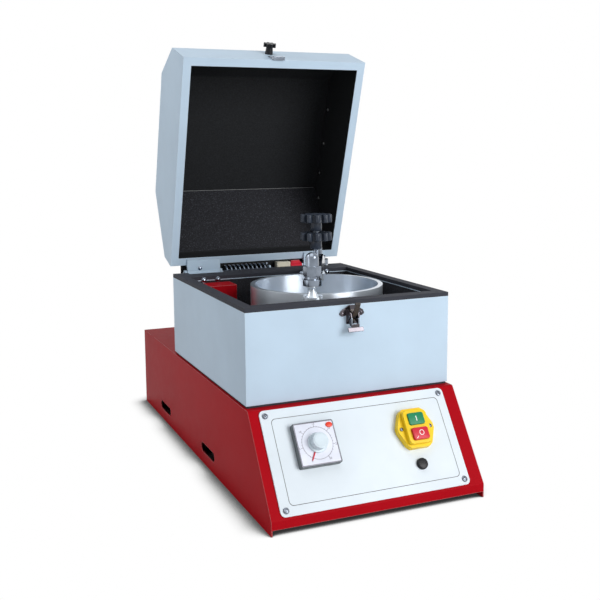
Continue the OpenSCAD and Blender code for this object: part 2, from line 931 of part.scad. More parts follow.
module latch_keeper() {
    color(bright)
        hood_pose()
            difference() {
                union() {
                    along_x(-12, 12)
                        polygon([
                            [box_y, hood_z + 26], [box_y - sheet_s, hood_z + 26], [box_y - sheet_s, hood_z - 2],
                            [box_y - 6, hood_z - 2], [box_y - 6, hood_z], [box_y - 7.2, hood_z],
                            [box_y - 7.2, hood_z - 3.5], [box_y, hood_z - 3.5]
                        ]);
                    for (s = [-1, 1])
                        translate([s * 7, box_y - sheet_s, hood_z + 19])
                            rotate([90, 0, 0])
                                dome_screw(6, 1.8);
                }
            }
}

// Hinge

module hinge_ears(xs, x0, x1) {
    plate_t2 = 3;
    drop = 34;
    color(grey)
        difference() {
            union() {
                translate([x0, box_rear, hinge_z - drop])
                    cube([x1 - x0, plate_t2, drop - 5]);
                for (x = xs)
                    along_x(x, x + 4)
                        polygon([
                            [box_rear + plate_t2 - small, hinge_z - drop], [hinge_y + knuckle_d / 2, hinge_z - knuckle_d / 2],
                            [hinge_y + knuckle_d / 2, hinge_z], [hinge_y + 4, hinge_z + knuckle_d / 2],
                            [hinge_y - 4, hinge_z + knuckle_d / 2],
                            [hinge_y - knuckle_d / 2, hinge_z - 2], [box_rear + plate_t2 - small, hinge_z - 5 - small]
                        ]);
            }
            translate([x0 - through, hinge_y, hinge_z])
                rotate([0, 90, 0])
                    cylinder(d = pin_d + 2 * bore_fit, h = x1 - x0 + 2 * through);
        }
}

ear_gap = 1;
spring_x = -arm_out + arm_left_w + ear_gap + 4 + ear_gap;
left_end = spring_x + spring_l + ear_gap + 4;

module hinge_brackets() {
    hinge_ears(
        [-arm_out - ear_gap - 4, -arm_out + arm_left_w + ear_gap, left_end - 4],
        -arm_out - ear_gap - 4, left_end
    );
    hinge_ears(
        [arm_out - arm_right_w - ear_gap - 4, arm_out + ear_gap],
        arm_out - arm_right_w - ear_gap - 4, arm_out + ear_gap + 4
    );
}

cam_w = 26;
body_w = 30;
cam_x = arm_out - arm_right_w - ear_gap - 4 - ear_gap - cam_w;

module hinge_pins() {
    color(bright)
        for (p = [[-arm_out - ear_gap - 6, left_end + 2], [cam_x - 6, arm_out + ear_gap + 6]])
            translate([p[0], hinge_y, hinge_z])
                rotate([0, 90, 0])
                    cylinder(d = pin_d, h = p[1] - p[0]);
}

// One arm: a knuckle on the hinge line, an upright leg and a leaf that lies on the hood's rim
module hinge_arm(x0, w) {
    leg = 3;
    slant = [-cos(hood_open), sin(hood_open)];
    front = [-sin(hood_open), -cos(hood_open)];
    rim = [
        -hinge_back * cos(hood_open) + (hood_z - hinge_z) * sin(hood_open),
        hinge_back * sin(hood_open) + (hood_z - hinge_z) * cos(hood_open)
    ];
    foot = rim + front * leg;
    reach = (6 + foot.x) / -slant.x;
    leaf = hood_rim - 1;
    color(grey)
        difference() {
            union() {
                translate([0, hinge_y, hinge_z])
                    along_x(x0, x0 + w)
                        polygon([
                            [-6, 0], [-6, foot.y + reach * slant.y], foot + slant * leaf, rim + slant * leaf,
                            rim, rim + front * 0.6 - slant * 2, [-3, 14], [-3, 0]
                        ]);
                translate([x0, hinge_y, hinge_z])
                    rotate([0, 90, 0])
                        cylinder(d = knuckle_d, h = w);
            }
            translate([x0 - through, hinge_y, hinge_z])
                rotate([0, 90, 0])
                    cylinder(d = pin_d + 2 * bore_fit, h = w + 2 * through);
        }
}

module hinge_arms() {
    hinge_arm(-arm_out, arm_left_w);
    hinge_arm(arm_out - arm_right_w, arm_right_w);
}

module hinge_bolts() {
    color(bright)
        for (x = [-arm_out + 27, arm_out - 24])
            translate([x, hinge_y - 6, hinge_z + knuckle_d / 2 + 4])
                rotate([90, 0, 0])
                    dome_screw(8, 3);
}

module hinge_spring() {
    pitch = spring_l / spring_turns;
    steps = 16;
    coil_r = (spring_d - spring_wire) / 2;
    color("#8E9AA8")
        translate([spring_x, hinge_y, hinge_z])
            rotate([0, 90, 0])
                coil(coil_r, spring_wire / 2, pitch, spring_turns - 0.5, steps, spring_wire / 2 + 0.2);
}

// A round wire wound along Z: one polyhedron with hexagonal sections
module coil(r, wire, pitch, turns, steps, start) {
    sides = 6;
    n = round(turns * steps);
    pts = [
        for (i = [0 : n])
            for (j = [0 : sides - 1])
                let (a = 360 * i / steps, b = 360 * j / sides, q = r + wire * cos(b))
                [q * cos(a), q * sin(a), start + pitch * i / steps + wire * sin(b)]
    ];
    faces = concat(
        [[for (j = [0 : sides - 1]) j]],
        [[for (j = [sides - 1 : -1 : 0]) n * sides + j]],
        [for (i = [0 : n - 1]) for (j = [0 : sides - 1])
            let (a = i * sides + j, b = i * sides + (j + 1) % sides)
            [b, a, a + sides]],
        [for (i = [0 : n - 1]) for (j = [0 : sides - 1])
            let (a = i * sides + j, b = i * sides + (j + 1) % sides)
            [b, a + sides, b + sides]]
    );
    polyhedron(pts, faces, convexity = 10);
}

// A folded black guard behind the hinge, screwed to the box's rear wall
module hinge_cover() {
    y = hinge_y + spring_d / 2 + 1;
    z = hinge_z - 37;
    rise = hinge_back + 1;
    color(black)
        along_x(-arm_out - 8, arm_out + 8)
            polygon([
                [box_rear, z], [y + box_sheet, z], [y + box_sheet, hinge_z + rise], [y, hinge_z + rise],
                [y, z + box_sheet], [box_rear, z + box_sheet]
            ]);
}

module interlock_body() {
    x0 = cam_x - ear_gap - body_w;
    color("#E6E0CC")
        difference() {
            union() {
                translate([x0, box_rear, hinge_z - 30])
                    cube([body_w, hinge_back + 8, 26]);
                translate([x0, hinge_y - 8, hinge_z - 10])
                    cube([body_w, 16, 24.5]);
            }
            translate([x0 + body_w - 10, hinge_y, hinge_z])
                rotate([0, 90, 0])
                    cylinder(d = pin_d + 1, h = 20);
        }
}

module interlock_cam() {
    color("#C03A30")
        translate([cam_x, hinge_y, hinge_z])
            rotate([0, 90, 0])
                difference() {
                    union() {
                        cylinder(d = 24, h = cam_w);
                        translate([-12, 0, cam_w / 2])
                            cube([8, 8, cam_w - 6], center = true);
                    }
                    translate([0, 0, -through])
                        cylinder(d = pin_d + 2 * bore_fit, h = cam_w + 2 * through);
                }
}

// Hood

function hood_outline() = [
    [box_y, hood_z],
    [box_y, hood_z + hood_front_h],
    [box_y + hood_chamfer, hood_z + hood_h],
    [box_y + hood_roof_end, hood_z + hood_h],
    [box_rear, hood_z + hood_rear_h],
    [box_rear, hood_z]
];

module hood_shell() {
    color(grey)
        hood_pose()
            difference() {
                along_x(-box_w / 2, box_w / 2)
                    polygon(rounded(hood_outline(), [0, 2, 3, 3, 2, 0], 3));
                along_x(-box_w / 2 + box_sheet, box_w / 2 - box_sheet)
                    polygon(inset(hood_outline(), box_sheet));
                translate([0, 0, hood_z - through])
                    frame_xy(box_w - 2 * hood_rim, box_y + hood_rim, box_rear - hood_rim, box_sheet + 2 * through);
            }
}

module hood_lining() {
    s = box_sheet + fit;
    color(black)
        hood_pose()
            difference() {
                along_x(-box_w / 2 + s, box_w / 2 - s)
                    polygon(inset(hood_outline(), s));
                along_x(-box_w / 2 + s + hood_foam, box_w / 2 - s - hood_foam)
                    polygon(inset(hood_outline(), s + hood_foam));
                translate([0, 0, hood_z])
                    frame_xy(box_w - 2 * (s + hood_foam), box_y + s + hood_foam, box_rear - s - hood_foam, 2 * hood_foam);
            }
}

// Height of the hood's outline above its rim at distance d behind its front
function roof_at(d) =
    d < hood_roof_end ? hood_h :
    hood_h - (d - hood_roof_end) * (hood_h - hood_rear_h) / (box_d - hood_roof_end);

module hood_screws() {
    face = box_w / 2 - box_sheet - fit - hood_foam;
    down = 20;
    color(bright)
        hood_pose()
            for (side = [-1, 1])
                for (f = [0.31, 0.49, 0.65, 0.78, 0.865])
                    translate([side * face, box_y + f * box_d, hood_z + roof_at(f * box_d) - down])
                        rotate([0, -side * 90, 0])
                            dome_screw(7, 2);
}

module star_profile(d, lobes) {
    lobe = d * 0.075;
    circle(d = d - 4 * lobe);
    for (i = [0 : lobes - 1])
        rotate(360 * i / lobes) {
            translate([d / 2 - lobe, 0])
                circle(r = lobe);
            translate([0, -lobe])
                square([d / 2 - lobe, 2 * lobe]);
        }
}

module hood_knob() {
    stem = lid_knob_d / 2;
    head = lid_knob_h / 3;
    color(black)
        hood_pose()
            translate([0, box_y, hood_z + lid_knob_up])
                rotate([90, 0, 0]) {
                    cylinder(d1 = stem + 3, d2 = stem, h = lid_knob_h - head + small);
                    translate([0, 0, lid_knob_h - head])
                        linear_extrude(head)
                            star_profile(lid_knob_d, 8);
                }
}

// Drive

module motor_plate() {
    color(steel)
        difference() {
            translate([-motor_d / 2 - 12, motor_y - motor_d / 2 - 12, motor_top])
                cube([motor_d + 24, motor_d + 24, motor_plate_t]);
            translate([0, motor_y, motor_top - through])
                cylinder(d = motor_d / 3, h = motor_plate_t + 2 * through);
        }
}

module motor() {
    fins = 24;
    bell = 12;
    color("#55606A")
        translate([0, motor_y, motor_top - motor_h]) {
            linear_extrude(motor_h - bell)
                union() {
                    circle(d = motor_d - 14);
                    for (i = [0 : fins - 1])
                        rotate(360 * i / fins)
                            translate([0, -1.5])
                                square([motor_d / 2, 3]);
                }
            translate([0, 0, motor_h - bell])
                cylinder(d = motor_d, h = bell);
            translate([0, 0, -bell_drop])
                cylinder(d1 = motor_d * 0.55, d2 = motor_d - 16, h = bell_drop);
        }
}

module pulley(d) {
    cylinder(d = d, h = pulley_h);
    for (z = [0, pulley_h - pulley_lip])
        translate([0, 0, z])
            cylinder(d = d + 8, h = pulley_lip);
}

// The motor's pulley with the shaft that it is pressed on
module motor_pulley() {
    shaft_out = 2;
    color(steel)
        translate([0, motor_y, pulley_z]) {
            pulley(motor_pulley_d);
            translate([0, 0, -shaft_out])
                cylinder(d = 14, h = motor_top - motor_h - bell_drop - fit - pulley_z + shaft_out);
        }
}

module driven_pulley() {
    color(steel)
        translate([0, axis_y, pulley_z])
            difference() {
                pulley(driven_d);
                translate([0, 0, -through])
                    cylinder(d = shaft_d + 2 * bore_fit, h = pulley_h + 2 * through);
            }
}

// The band round two pulleys on the Y axis: an arc round each and the straight runs between them
function band(r1, r2, span, n = 32) =
    let (lean = acos((r1 - r2) / span))
    [
        for (i = [0 : n])
            let (a = 90 - lean + 2 * lean * i / n)
            [r2 * cos(a), span + r2 * sin(a)],
        for (i = [0 : n])
            let (a = 90 + lean + (360 - 2 * lean) * i / n)
            [r1 * cos(a), r1 * sin(a)]
    ];

module drive_belt() {
    belt_t = 3.5;
    span = motor_y - axis_y;
    color(black)
        translate([0, axis_y, pulley_z + pulley_lip + fit])
            linear_extrude(pulley_h - 2 * (pulley_lip + fit))
                difference() {
                    polygon(band(driven_d / 2 + fit + belt_t, motor_pulley_d / 2 + fit + belt_t, span));
                    polygon(band(driven_d / 2 + fit, motor_pulley_d / 2 + fit, span));
                }
}

module bearing_housing() {
    bottom = floor_top - housing_barrel;
    color("#7A858D")
        at_axis()
            difference() {
                union() {
                    translate([0, 0, floor_top])
                        cylinder(d = housing_flange_d + 8, h = housing_flange_t);
                    translate([0, 0, bottom])
                        cylinder(d = housing_d, h = housing_barrel + small);
                }
                translate([0, 0, bottom - through])
                    cylinder(d = shaft_d + 6, h = housing_barrel + housing_flange_t + 2 * through);
                for (z = [bottom - through, floor_top + housing_flange_t - bearing_t])
                    translate([0, 0, z])
                        cylinder(d = bearing_od + 2 * bore_fit, h = bearing_t + through);
            }
}

module main_bearings() {
    bottom = floor_top - housing_barrel;
    color(bright)
        at_axis()
            for (z = [bottom, floor_top + housing_flange_t - bearing_t])
                translate([0, 0, z])
                    ring(bearing_od, shaft_d + 2 * bore_fit, bearing_t);
}

module main_shaft() {
    color(bright)
        at_axis()
            translate([0, 0, pulley_z - 3])
                cylinder(d = shaft_d, h = rotor_top - pulley_z + 3);
}

module rotor() {
    color("#8C9296") {
        at_axis()
            difference() {
                union() {
                    translate([0, 0, rotor_z])
                        cylinder(d = rotor_d, h = rotor_t);
                    translate([orbit_e, 0, rotor_top])
                        cylinder(d = journal_d, h = orbit_z + orbit_plate_t - 2 - rotor_top);
                    intersection() {
                        translate([0, 0, rotor_top])
                            ring(rotor_d, 2 * weight_in, weight_t);
                        translate([-rotor_d, -rotor_d / 2, rotor_top])
                            cube([rotor_d - 20, rotor_d, weight_t]);
                    }
                }
                translate([0, 0, rotor_z - through])
                    cylinder(d = shaft_d + 2 * bore_fit, h = rotor_t + through + small);
            }
    }
}

// A guide crank: a stub in the floor's bearing, a disc, and a pin that follows the orbit
module guide_crank(i) {
    a = crank_angles[i - 1];
    color(bright)
        at_axis()
            translate([crank_r * cos(a), crank_r * sin(a), 0]) {
                translate([0, 0, box_z + 1])
                    cylinder(d = crank_stub_d, h = rotor_z - box_z);
                translate([0, 0, rotor_z])
                    cylinder(d = crank_disc_d, h = rotor_t);
                translate([orbit_e, 0, rotor_top - small])
                    cylinder(d = crank_pin_d, h = orbit_z + orbit_plate_t - 2 - rotor_top);
            }
}

module guide_crank_1() {
    guide_crank(1);
}

module guide_crank_2() {
    guide_crank(2);
}

module guide_crank_3() {
    guide_crank(3);
}

// Bowl and clamp

module orbit_plate() {
    color("#9AA0A4")
        at_bowl()
            difference() {
                union() {
                    translate([0, 0, orbit_z])
                        cylinder(d = bowl_d - 2, h = orbit_plate_t);
                    translate([0, 0, orbit_z - orbit_hub_t])
                        cylinder(d = orbit_hub_d, h = orbit_hub_t + small);
                }
                translate([0, 0, orbit_z - orbit_hub_t - through])
                    cylinder(d = journal_d + 2 * bore_fit, h = orbit_hub_t + orbit_plate_t + through - 1);
                for (a = crank_angles)
                    translate([crank_r * cos(a), crank_r * sin(a), orbit_z - through])
                        cylinder(d = crank_pin_d + 2 * bore_fit, h = orbit_plate_t + through - 1);
            }
}

// The bowl with its two foot plates and turned posts, which are welded on
module bowl() {
    color(bright) {
        at_bowl()
            difference() {
                translate([0, 0, bowl_z])
                    cylinder(d = bowl_d, h = bowl_rim - bowl_z, $fn = 128);
                translate([0, 0, bowl_z + bowl_bottom])
                    cylinder(d = bowl_d - 2 * bowl_wall, h = bowl_rim - bowl_z, $fn = 128);
            }
        on_bridge()
            for (s = [-1, 1])
                translate([0, s * post_r, 0])
                    rotate([0, 0, s > 0 ? 0 : 180])
                        clamp_post();
    }
}

module clamp_post() {
    cone_h = 10;
    foot_out = 14;
    difference() {
        translate([0, 0, foot_top - foot_t])
            linear_extrude(foot_t)
                polygon(rounded([
                    [-foot_w / 2, -post_out - 3], [foot_w / 2, -post_out - 3],
                    [foot_w / 2, foot_out], [-foot_w / 2, foot_out]
                ], [0, 0, foot_w / 2 - 3, foot_w / 2 - 3]));
        translate([0, -post_r, foot_top - foot_t - through])
            cylinder(d = bowl_d - bowl_wall, h = foot_t + 2 * through, $fn = 128);
    }
    translate([0, 0, foot_top - small])
        cylinder(d1 = neck_d + 10, d2 = neck_d, h = cone_h);
    translate([0, 0, foot_top])
        cylinder(d = neck_d, h = bridge_up);
    translate([0, 0, bridge_z - 2 * collar_t])
        cylinder(d1 = neck_d, d2 = collar_d, h = collar_t + small);
    translate([0, 0, bridge_z - collar_t])
        cylinder(d = collar_d, h = collar_t);
    translate([0, 0, bridge_z - small])
        cylinder(d = post_stud_d, h = pad_t + washer_t);
}

// The bridge turns about the rear post; its front end has a slot that leaves the front post sideways
module clamp_bridge() {
    slot_play = 1;
    slot = post_stud_d + 2 * slot_play;
    hub = bridge_w / 2 + 4;
    neck = post_r - pad_d / 2 + 4;
    bow = [
        [-neck, bridge_z + bore_fit], [-neck + 14, bridge_z + bore_fit], [-hub, bridge_z + bridge_arch],
        [hub, bridge_z + bridge_arch], [neck - 14, bridge_z + bore_fit], [neck, bridge_z + bore_fit],
        [neck, pad_top], [neck - 10, pad_top], [hub + 6, bridge_top - 4], [hub, bridge_top],
        [-hub, bridge_top], [-hub - 6, bridge_top - 4], [-neck + 10, pad_top], [-neck, pad_top]
    ];
    color(bright)
        on_bridge()
            difference() {
                union() {
                    along_x(-bridge_w / 2, bridge_w / 2)
                        polygon(rounded(bow, [0, 20, 15, 15, 20, 0, 0, 20, 15, 4, 4, 15, 20, 0]));
                    for (s = [-1, 1])
                        translate([0, s * post_r, bridge_z + bore_fit])
                            cylinder(d = pad_d, h = pad_t - bore_fit);
                }
                translate([0, post_r, bridge_z - through])
                    cylinder(d = post_stud_d + 2 * bore_fit, h = pad_t + 2 * through);
                translate([0, 0, bridge_z - through])
                    cylinder(d = spindle_d + 2 * bore_fit, h = bridge_top - bridge_z + 2 * through);
                translate([0, -post_r, bridge_z - through])
                    cylinder(d = slot, h = pad_t + 2 * through);
                translate([-pad_d, -post_r - slot / 2, bridge_z - through])
                    cube([pad_d, slot, pad_t + 2 * through]);
            }
}

// A washer, a chamfered hexagon and a dome, turned on the front post's thread
module clamp_nut() {
    corner_r = nut_af / 2 / cos(30);
    color(bright)
        on_bridge()
            translate([0, -post_r, pad_top + bore_fit])
                difference() {
                    union() {
                        cylinder(d = nut_af - 4, h = washer_t + small);
                        translate([0, 0, washer_t])
                            intersection() {
                                cylinder(r = corner_r, h = nut_h, $fn = 6);
                                rotate_extrude()
                                    polygon([
                                        [0, 0], [corner_r - 2, 0], [corner_r, 1.5], [corner_r, nut_h - 1.5],
                                        [corner_r - 2, nut_h], [0, nut_h]
                                    ]);
                            }
                        translate([0, 0, washer_t + nut_h - small])
                            rotate_extrude()
                                polygon(dome_profile(nut_af / 2 - 1, dome_h));
                    }
                    translate([0, 0, -through])
                        cylinder(d = post_stud_d + 2 * bore_fit, h = washer_t + through + 1);
                }
}

// Half the outline of a ball-ended dome of radius r and height h
function dome_profile(r, h) =
    concat([[0, 0], [r - 1, 0], [r - 1, h - r]], [for (a = [15 : 15 : 90]) [(r - 0.5) * cos(a), h - r + r * sin(a)]]);

// The rear post's nut carries the long pin that the bridge turns under
module pivot_nut() {
    pin_h = 23;
    tip_h = 12;
    color(bright)
        on_bridge()
            translate([0, post_r, pad_top + bore_fit])
                difference() {
                    union() {
                        cylinder(d = nut_af - 4, h = washer_t + 2);
                        cylinder(d = post_stud_d - 2.5, h = pin_h);
                        cylinder(d = pin_tip_d, h = pin_h + tip_h);
                    }
                    translate([0, 0, -through])
                        cylinder(d = post_stud_d + 2 * bore_fit, h = washer_t + through);
                }
}

module star_knob(t, hub) {
    color(black) {
        translate([0, 0, hub - small])
            linear_extrude(t + small)
                difference() {
                    star_profile(star_d, star_lobes);
                    circle(d = spindle_d + 2 * bore_fit);
                }
        ring(hub_d, spindle_d + 2 * bore_fit, hub);
    }
}

module clamp_spindle() {
    color(bright)
        at_bowl()
            translate([0, 0, spindle_bottom])
                cylinder(d = spindle_d, h = upper_z + star_upper_t - spindle_bottom - 2);
}

module turn_knob() {
    at_bowl()
        translate([0, 0, upper_z - hub_h])
            star_knob(star_upper_t, hub_h);
}

module lock_knob() {
    at_bowl()
        translate([0, 0, lock_z])
            star_knob(star_lower_t, hub_h);
}

module press_foot() {
    cup = 2;
    color(steel)
        at_bowl()
            translate([0, 0, spindle_bottom - cup])
                difference() {
                    cylinder(d = press_d, h = press_t);
                    translate([0, 0, cup])
                        cylinder(d = spindle_d + 2 * bore_fit, h = press_t);
                }
}

base_casing();
rear_panel();
bottom_plate();
front_plate();
panel_screws();
timer_body();
timer_dial();
timer_lamp();
timer_knob();
timer_pointer();
switch_housing();
start_button();
stop_button();
fuse_holder();
fuse_cap();
power_inlet();
deck_seal();
chamber_box();
chamber_floor();
chamber_lining();
rim_seal();
corner_duct();
wall_bolts();
latch_plate();
latch_lever();
latch_claw();
latch_keeper();
hinge_brackets();
hinge_pins();
hinge_arms();
hinge_bolts();
hinge_spring();
hinge_cover();
interlock_body();
interlock_cam();
hood_shell();
hood_lining();
hood_screws();
hood_knob();
motor();
motor_plate();
motor_pulley();
drive_belt();
driven_pulley();
bearing_housing();
main_bearings();
main_shaft();
rotor();
guide_crank_1();
guide_crank_2();
guide_crank_3();
orbit_plate();
bowl();
clamp_bridge();
clamp_nut();
pivot_nut();
clamp_spindle();
turn_knob();
lock_knob();
press_foot();
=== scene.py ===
"""Looks of a bench laboratory mill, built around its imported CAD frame.

The frame gives every solid its size and place. This file dresses those solids, replaces the ones
whose real shape is softer than the CAD's, and adds the small prints, slots and marks.
All lengths are in metres, in the frame's own axes: +X right, +Y to the rear, +Z up.
"""

import json
import logging
import math
from dataclasses import dataclass
from enum import Enum
from typing import Sequence

import bmesh
import bpy
from mathutils import Matrix, Vector

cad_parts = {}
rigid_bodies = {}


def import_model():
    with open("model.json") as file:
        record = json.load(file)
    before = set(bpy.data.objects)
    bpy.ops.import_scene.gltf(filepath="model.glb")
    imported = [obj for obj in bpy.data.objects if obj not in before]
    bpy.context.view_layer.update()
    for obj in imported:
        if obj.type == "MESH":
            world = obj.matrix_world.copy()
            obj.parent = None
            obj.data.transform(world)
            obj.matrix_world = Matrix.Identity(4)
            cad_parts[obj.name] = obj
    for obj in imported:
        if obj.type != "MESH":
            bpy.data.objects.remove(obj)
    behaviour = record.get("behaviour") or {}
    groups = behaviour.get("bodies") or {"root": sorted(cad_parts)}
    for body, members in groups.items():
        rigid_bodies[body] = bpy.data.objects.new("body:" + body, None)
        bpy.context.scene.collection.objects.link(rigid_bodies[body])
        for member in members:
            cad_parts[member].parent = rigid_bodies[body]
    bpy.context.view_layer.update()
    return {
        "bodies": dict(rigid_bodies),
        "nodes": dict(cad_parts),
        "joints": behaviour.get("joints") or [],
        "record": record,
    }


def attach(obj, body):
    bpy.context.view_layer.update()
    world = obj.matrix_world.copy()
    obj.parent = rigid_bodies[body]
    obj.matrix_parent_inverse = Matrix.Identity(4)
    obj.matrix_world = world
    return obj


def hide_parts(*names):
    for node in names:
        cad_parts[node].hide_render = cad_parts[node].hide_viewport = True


LOG = logging.getLogger("mill")
MM = 0.001
TINY = 1e-7
FULL_TURN = 2 * math.pi
Point2 = tuple[float, float]
Point3 = tuple[float, float, float]
Colour = tuple[float, float, float]
Mesh = bmesh.types.BMesh
Socket = bpy.types.NodeSocket


def tint(code: str) -> Colour:
    """Turns a six-digit sRGB colour code into Blender's linear colour.

    Args:
        code: The colour as RRGGBB.

    Returns:
        Red, green and blue as linear values.
    """
    parts = [int(code[i:i + 2], 16) / 255 for i in (0, 2, 4)]
    return tuple(p / 12.92 if p <= 0.04045 else ((p + 0.055) / 1.055) ** 2.4 for p in parts)


def shade(colour: Colour, factor: float) -> Colour:
    """Lightens or darkens a colour by a factor."""
    return tuple(min(1.0, c * factor) for c in colour)


def circle(radius: float, sides: int) -> list[Point2]:
    """Returns points on a circle about the origin, anticlockwise."""
    return [(radius * math.cos(FULL_TURN * i / sides), radius * math.sin(FULL_TURN * i / sides))
            for i in range(sides)]


def turn(degrees: float, axis: str = "Z") -> Matrix:
    """Returns a turn about an axis through the origin."""
    return Matrix.Rotation(math.radians(degrees), 4, axis)


def move(x: float, y: float, z: float) -> Matrix:
    """Returns a shift."""
    return Matrix.Translation((x, y, z))


class Sheet:
    """A node tree, with short calls that add and join nodes."""

    def __init__(self, tree: bpy.types.NodeTree) -> None:
        """Keeps the tree."""
        self.tree = tree

    def add(self, kind: str, **values: object) -> bpy.types.Node:
        """Adds a node.

        Args:
            kind: The node's type name without "ShaderNode".
            **values: Settings of the node, or default values of its inputs by name.

        Returns:
            The new node.
        """
        node = self.tree.nodes.new("ShaderNode" + kind)
        for key, value in values.items():
            name = key.replace("_", " ")
            if name in node.inputs:
                node.inputs[name].default_value = value
            else:
                setattr(node, key, value)
        return node

    def join(self, source: Socket, target: Socket) -> None:
        """Links two sockets."""
        self.tree.links.new(source, target)

    def seen(self) -> Socket:
        """Tells what the camera sees, also through gloss and glass, from all else.

        Returns:
            A socket that is 1 for it and 0 for the rest.
        """
        path = self.add("LightPath")
        total = path.outputs["Is Camera Ray"]
        for kind in ("Is Glossy Ray", "Is Transmission Ray"):
            larger = self.add("Math", operation="MAXIMUM")
            self.join(total, larger.inputs[0])
            self.join(path.outputs[kind], larger.inputs[1])
            total = larger.outputs[0]
        return total

    def mix(self, unseen: bpy.types.Node, shown: bpy.types.Node, output: bpy.types.Node) -> None:
        """Sends one shader to the camera and another to all else.

        Args:
            unseen: The shader that lights the object.
            shown: The shader that the camera sees.
            output: The node that takes both.
        """
        mix = self.add("MixShader")
        self.join(self.seen(), mix.inputs["Fac"])
        self.join(unseen.outputs[0], mix.inputs[1])
        self.join(shown.outputs[0], mix.inputs[2])
        self.join(mix.outputs[0], output.inputs["Surface"])


class NodeSheet(Sheet):
    """A material's node tree, with the textures that the finishes share."""

    FOLD_FROM = 0.955
    FOLD_TO = 0.985
    BEVEL_SAMPLES = 6

    def __init__(self, name: str) -> None:
        """Creates the material and keeps its shader and its output.

        Args:
            name: The material's name.
        """
        self.material = bpy.data.materials.new(name)
        self.material.use_nodes = True
        super().__init__(self.material.node_tree)
        self.shader = self.tree.nodes["Principled BSDF"]
        self.output = self.tree.nodes["Material Output"]

    def paint(self, source: Socket, name: str) -> None:
        """Links a socket to one of the shader's own, by name."""
        self.join(source, self.shader.inputs[name])

    def place(self, scale: Point3 = (1, 1, 1)) -> Socket:
        """Adds object coordinates.

        Args:
            scale: How much each axis is stretched.

        Returns:
            The coordinates' socket.
        """
        coords = self.add("TexCoord")
        mapping = self.add("Mapping", Scale=scale)
        self.join(coords.outputs["Object"], mapping.inputs["Vector"])
        return mapping.outputs["Vector"]

    def noise(self, scale: float, detail: float = 2.0, rough: float = 0.5,
              stretch: Point3 = (1, 1, 1)) -> Socket:
        """Adds a noise texture in object space and returns its grey output.

        Args:
            scale: Cells per metre.
            detail: How many finer layers it has.
            rough: How strong the finer layers are.
            stretch: The scale of each axis.

        Returns:
            The texture's Fac socket.
        """
        node = self.add("TexNoise", Scale=scale, Detail=detail, Roughness=rough)
        self.join(self.place(stretch), node.inputs["Vector"])
        return node.outputs["Fac"]

    def ramp(self, source: Socket, stops: Sequence[tuple[float, Colour]]) -> Socket:
        """Maps a grey value to colours.

        Args:
            source: The grey value.
            stops: Places from 0 to 1 with their colours.

        Returns:
            The colour socket.
        """
        node = self.add("ValToRGB")
        ramp = node.color_ramp
        while len(ramp.elements) < len(stops):
            ramp.elements.new(0.5)
        for element, (place, colour) in zip(ramp.elements, stops):
            element.position = place
            element.color = (*colour, 1.0)
        self.join(source, node.inputs["Fac"])
        return node.outputs["Color"]

    def spread(self, source: Socket, low: float, high: float) -> Socket:
        """Maps a grey value to a range of numbers.

        Args:
            source: The grey value.
            low: What 0 becomes.
            high: What 1 becomes.

        Returns:
            The number's socket.
        """
        node = self.add("MapRange", To_Min=low, To_Max=high)
        self.join(source, node.inputs["Value"])
        return node.outputs["Result"]

    def bevel(self, radius: float) -> Socket:
        """Makes a normal that turns smoothly over sharp edges.

        Args:
            radius: How round the edges look, in metres.

        Returns:
            The normal's socket.
        """
        bevel = self.add("Bevel", Radius=radius)
        bevel.samples = self.BEVEL_SAMPLES
        return bevel.outputs["Normal"]

    def relief(self, source: Socket, strength: float, depth: float, edge: float) -> None:
        """Gives the surface a bump, with its sharp edges rounded in the shading.

        Args:
            source: The height.
            strength: From 0 to 1.
            depth: The height's size in metres.
            edge: The radius of the rounded edges in metres.
        """
        bump = self.add("Bump", Strength=strength, Distance=depth)
        self.join(source, bump.inputs["Height"])
        if edge > 0:
            self.join(self.bevel(edge), bump.inputs["Normal"])
        self.paint(bump.outputs["Normal"], "Normal")

    def folds(self, radius: float, most: float) -> Socket:
        """Returns a value that rises along sharp folds and is nought elsewhere.

        Args:
            radius: How far the fold's line reaches, in metres.
            most: The value on the fold itself.

        Returns:
            The value's socket.
        """
        facing = self.add("VectorMath", operation="DOT_PRODUCT")
        self.join(self.bevel(radius), facing.inputs[0])
        self.join(self.add("NewGeometry").outputs["Normal"], facing.inputs[1])
        line = self.add("MapRange", From_Min=self.FOLD_FROM, From_Max=self.FOLD_TO,
                        To_Min=most, To_Max=0.0)
        self.join(facing.outputs["Value"], line.inputs["Value"])
        return line.outputs["Result"]

    def set(self, **values: object) -> None:
        """Sets constants on the shader's own sockets."""
        for key, value in values.items():
            self.shader.inputs[key.replace("_", " ")].default_value = value


@dataclass(frozen=True)
class Finish:
    """What every finish has: a name, a colour and the radius of its softened edges."""

    name: str
    colour: Colour
    edge: float = 0.0006

    def dress(self, sheet: NodeSheet) -> None:
        """Fills the node tree. Each kind of finish has its own."""
        raise NotImplementedError

    def material(self) -> bpy.types.Material:
        """Makes the finish's material on its first use.

        Returns:
            The material.
        """
        label = "finish_" + self.name
        found = bpy.data.materials.get(label)
        if found:
            return found
        sheet = NodeSheet(label)
        self.dress(sheet)
        return sheet.material


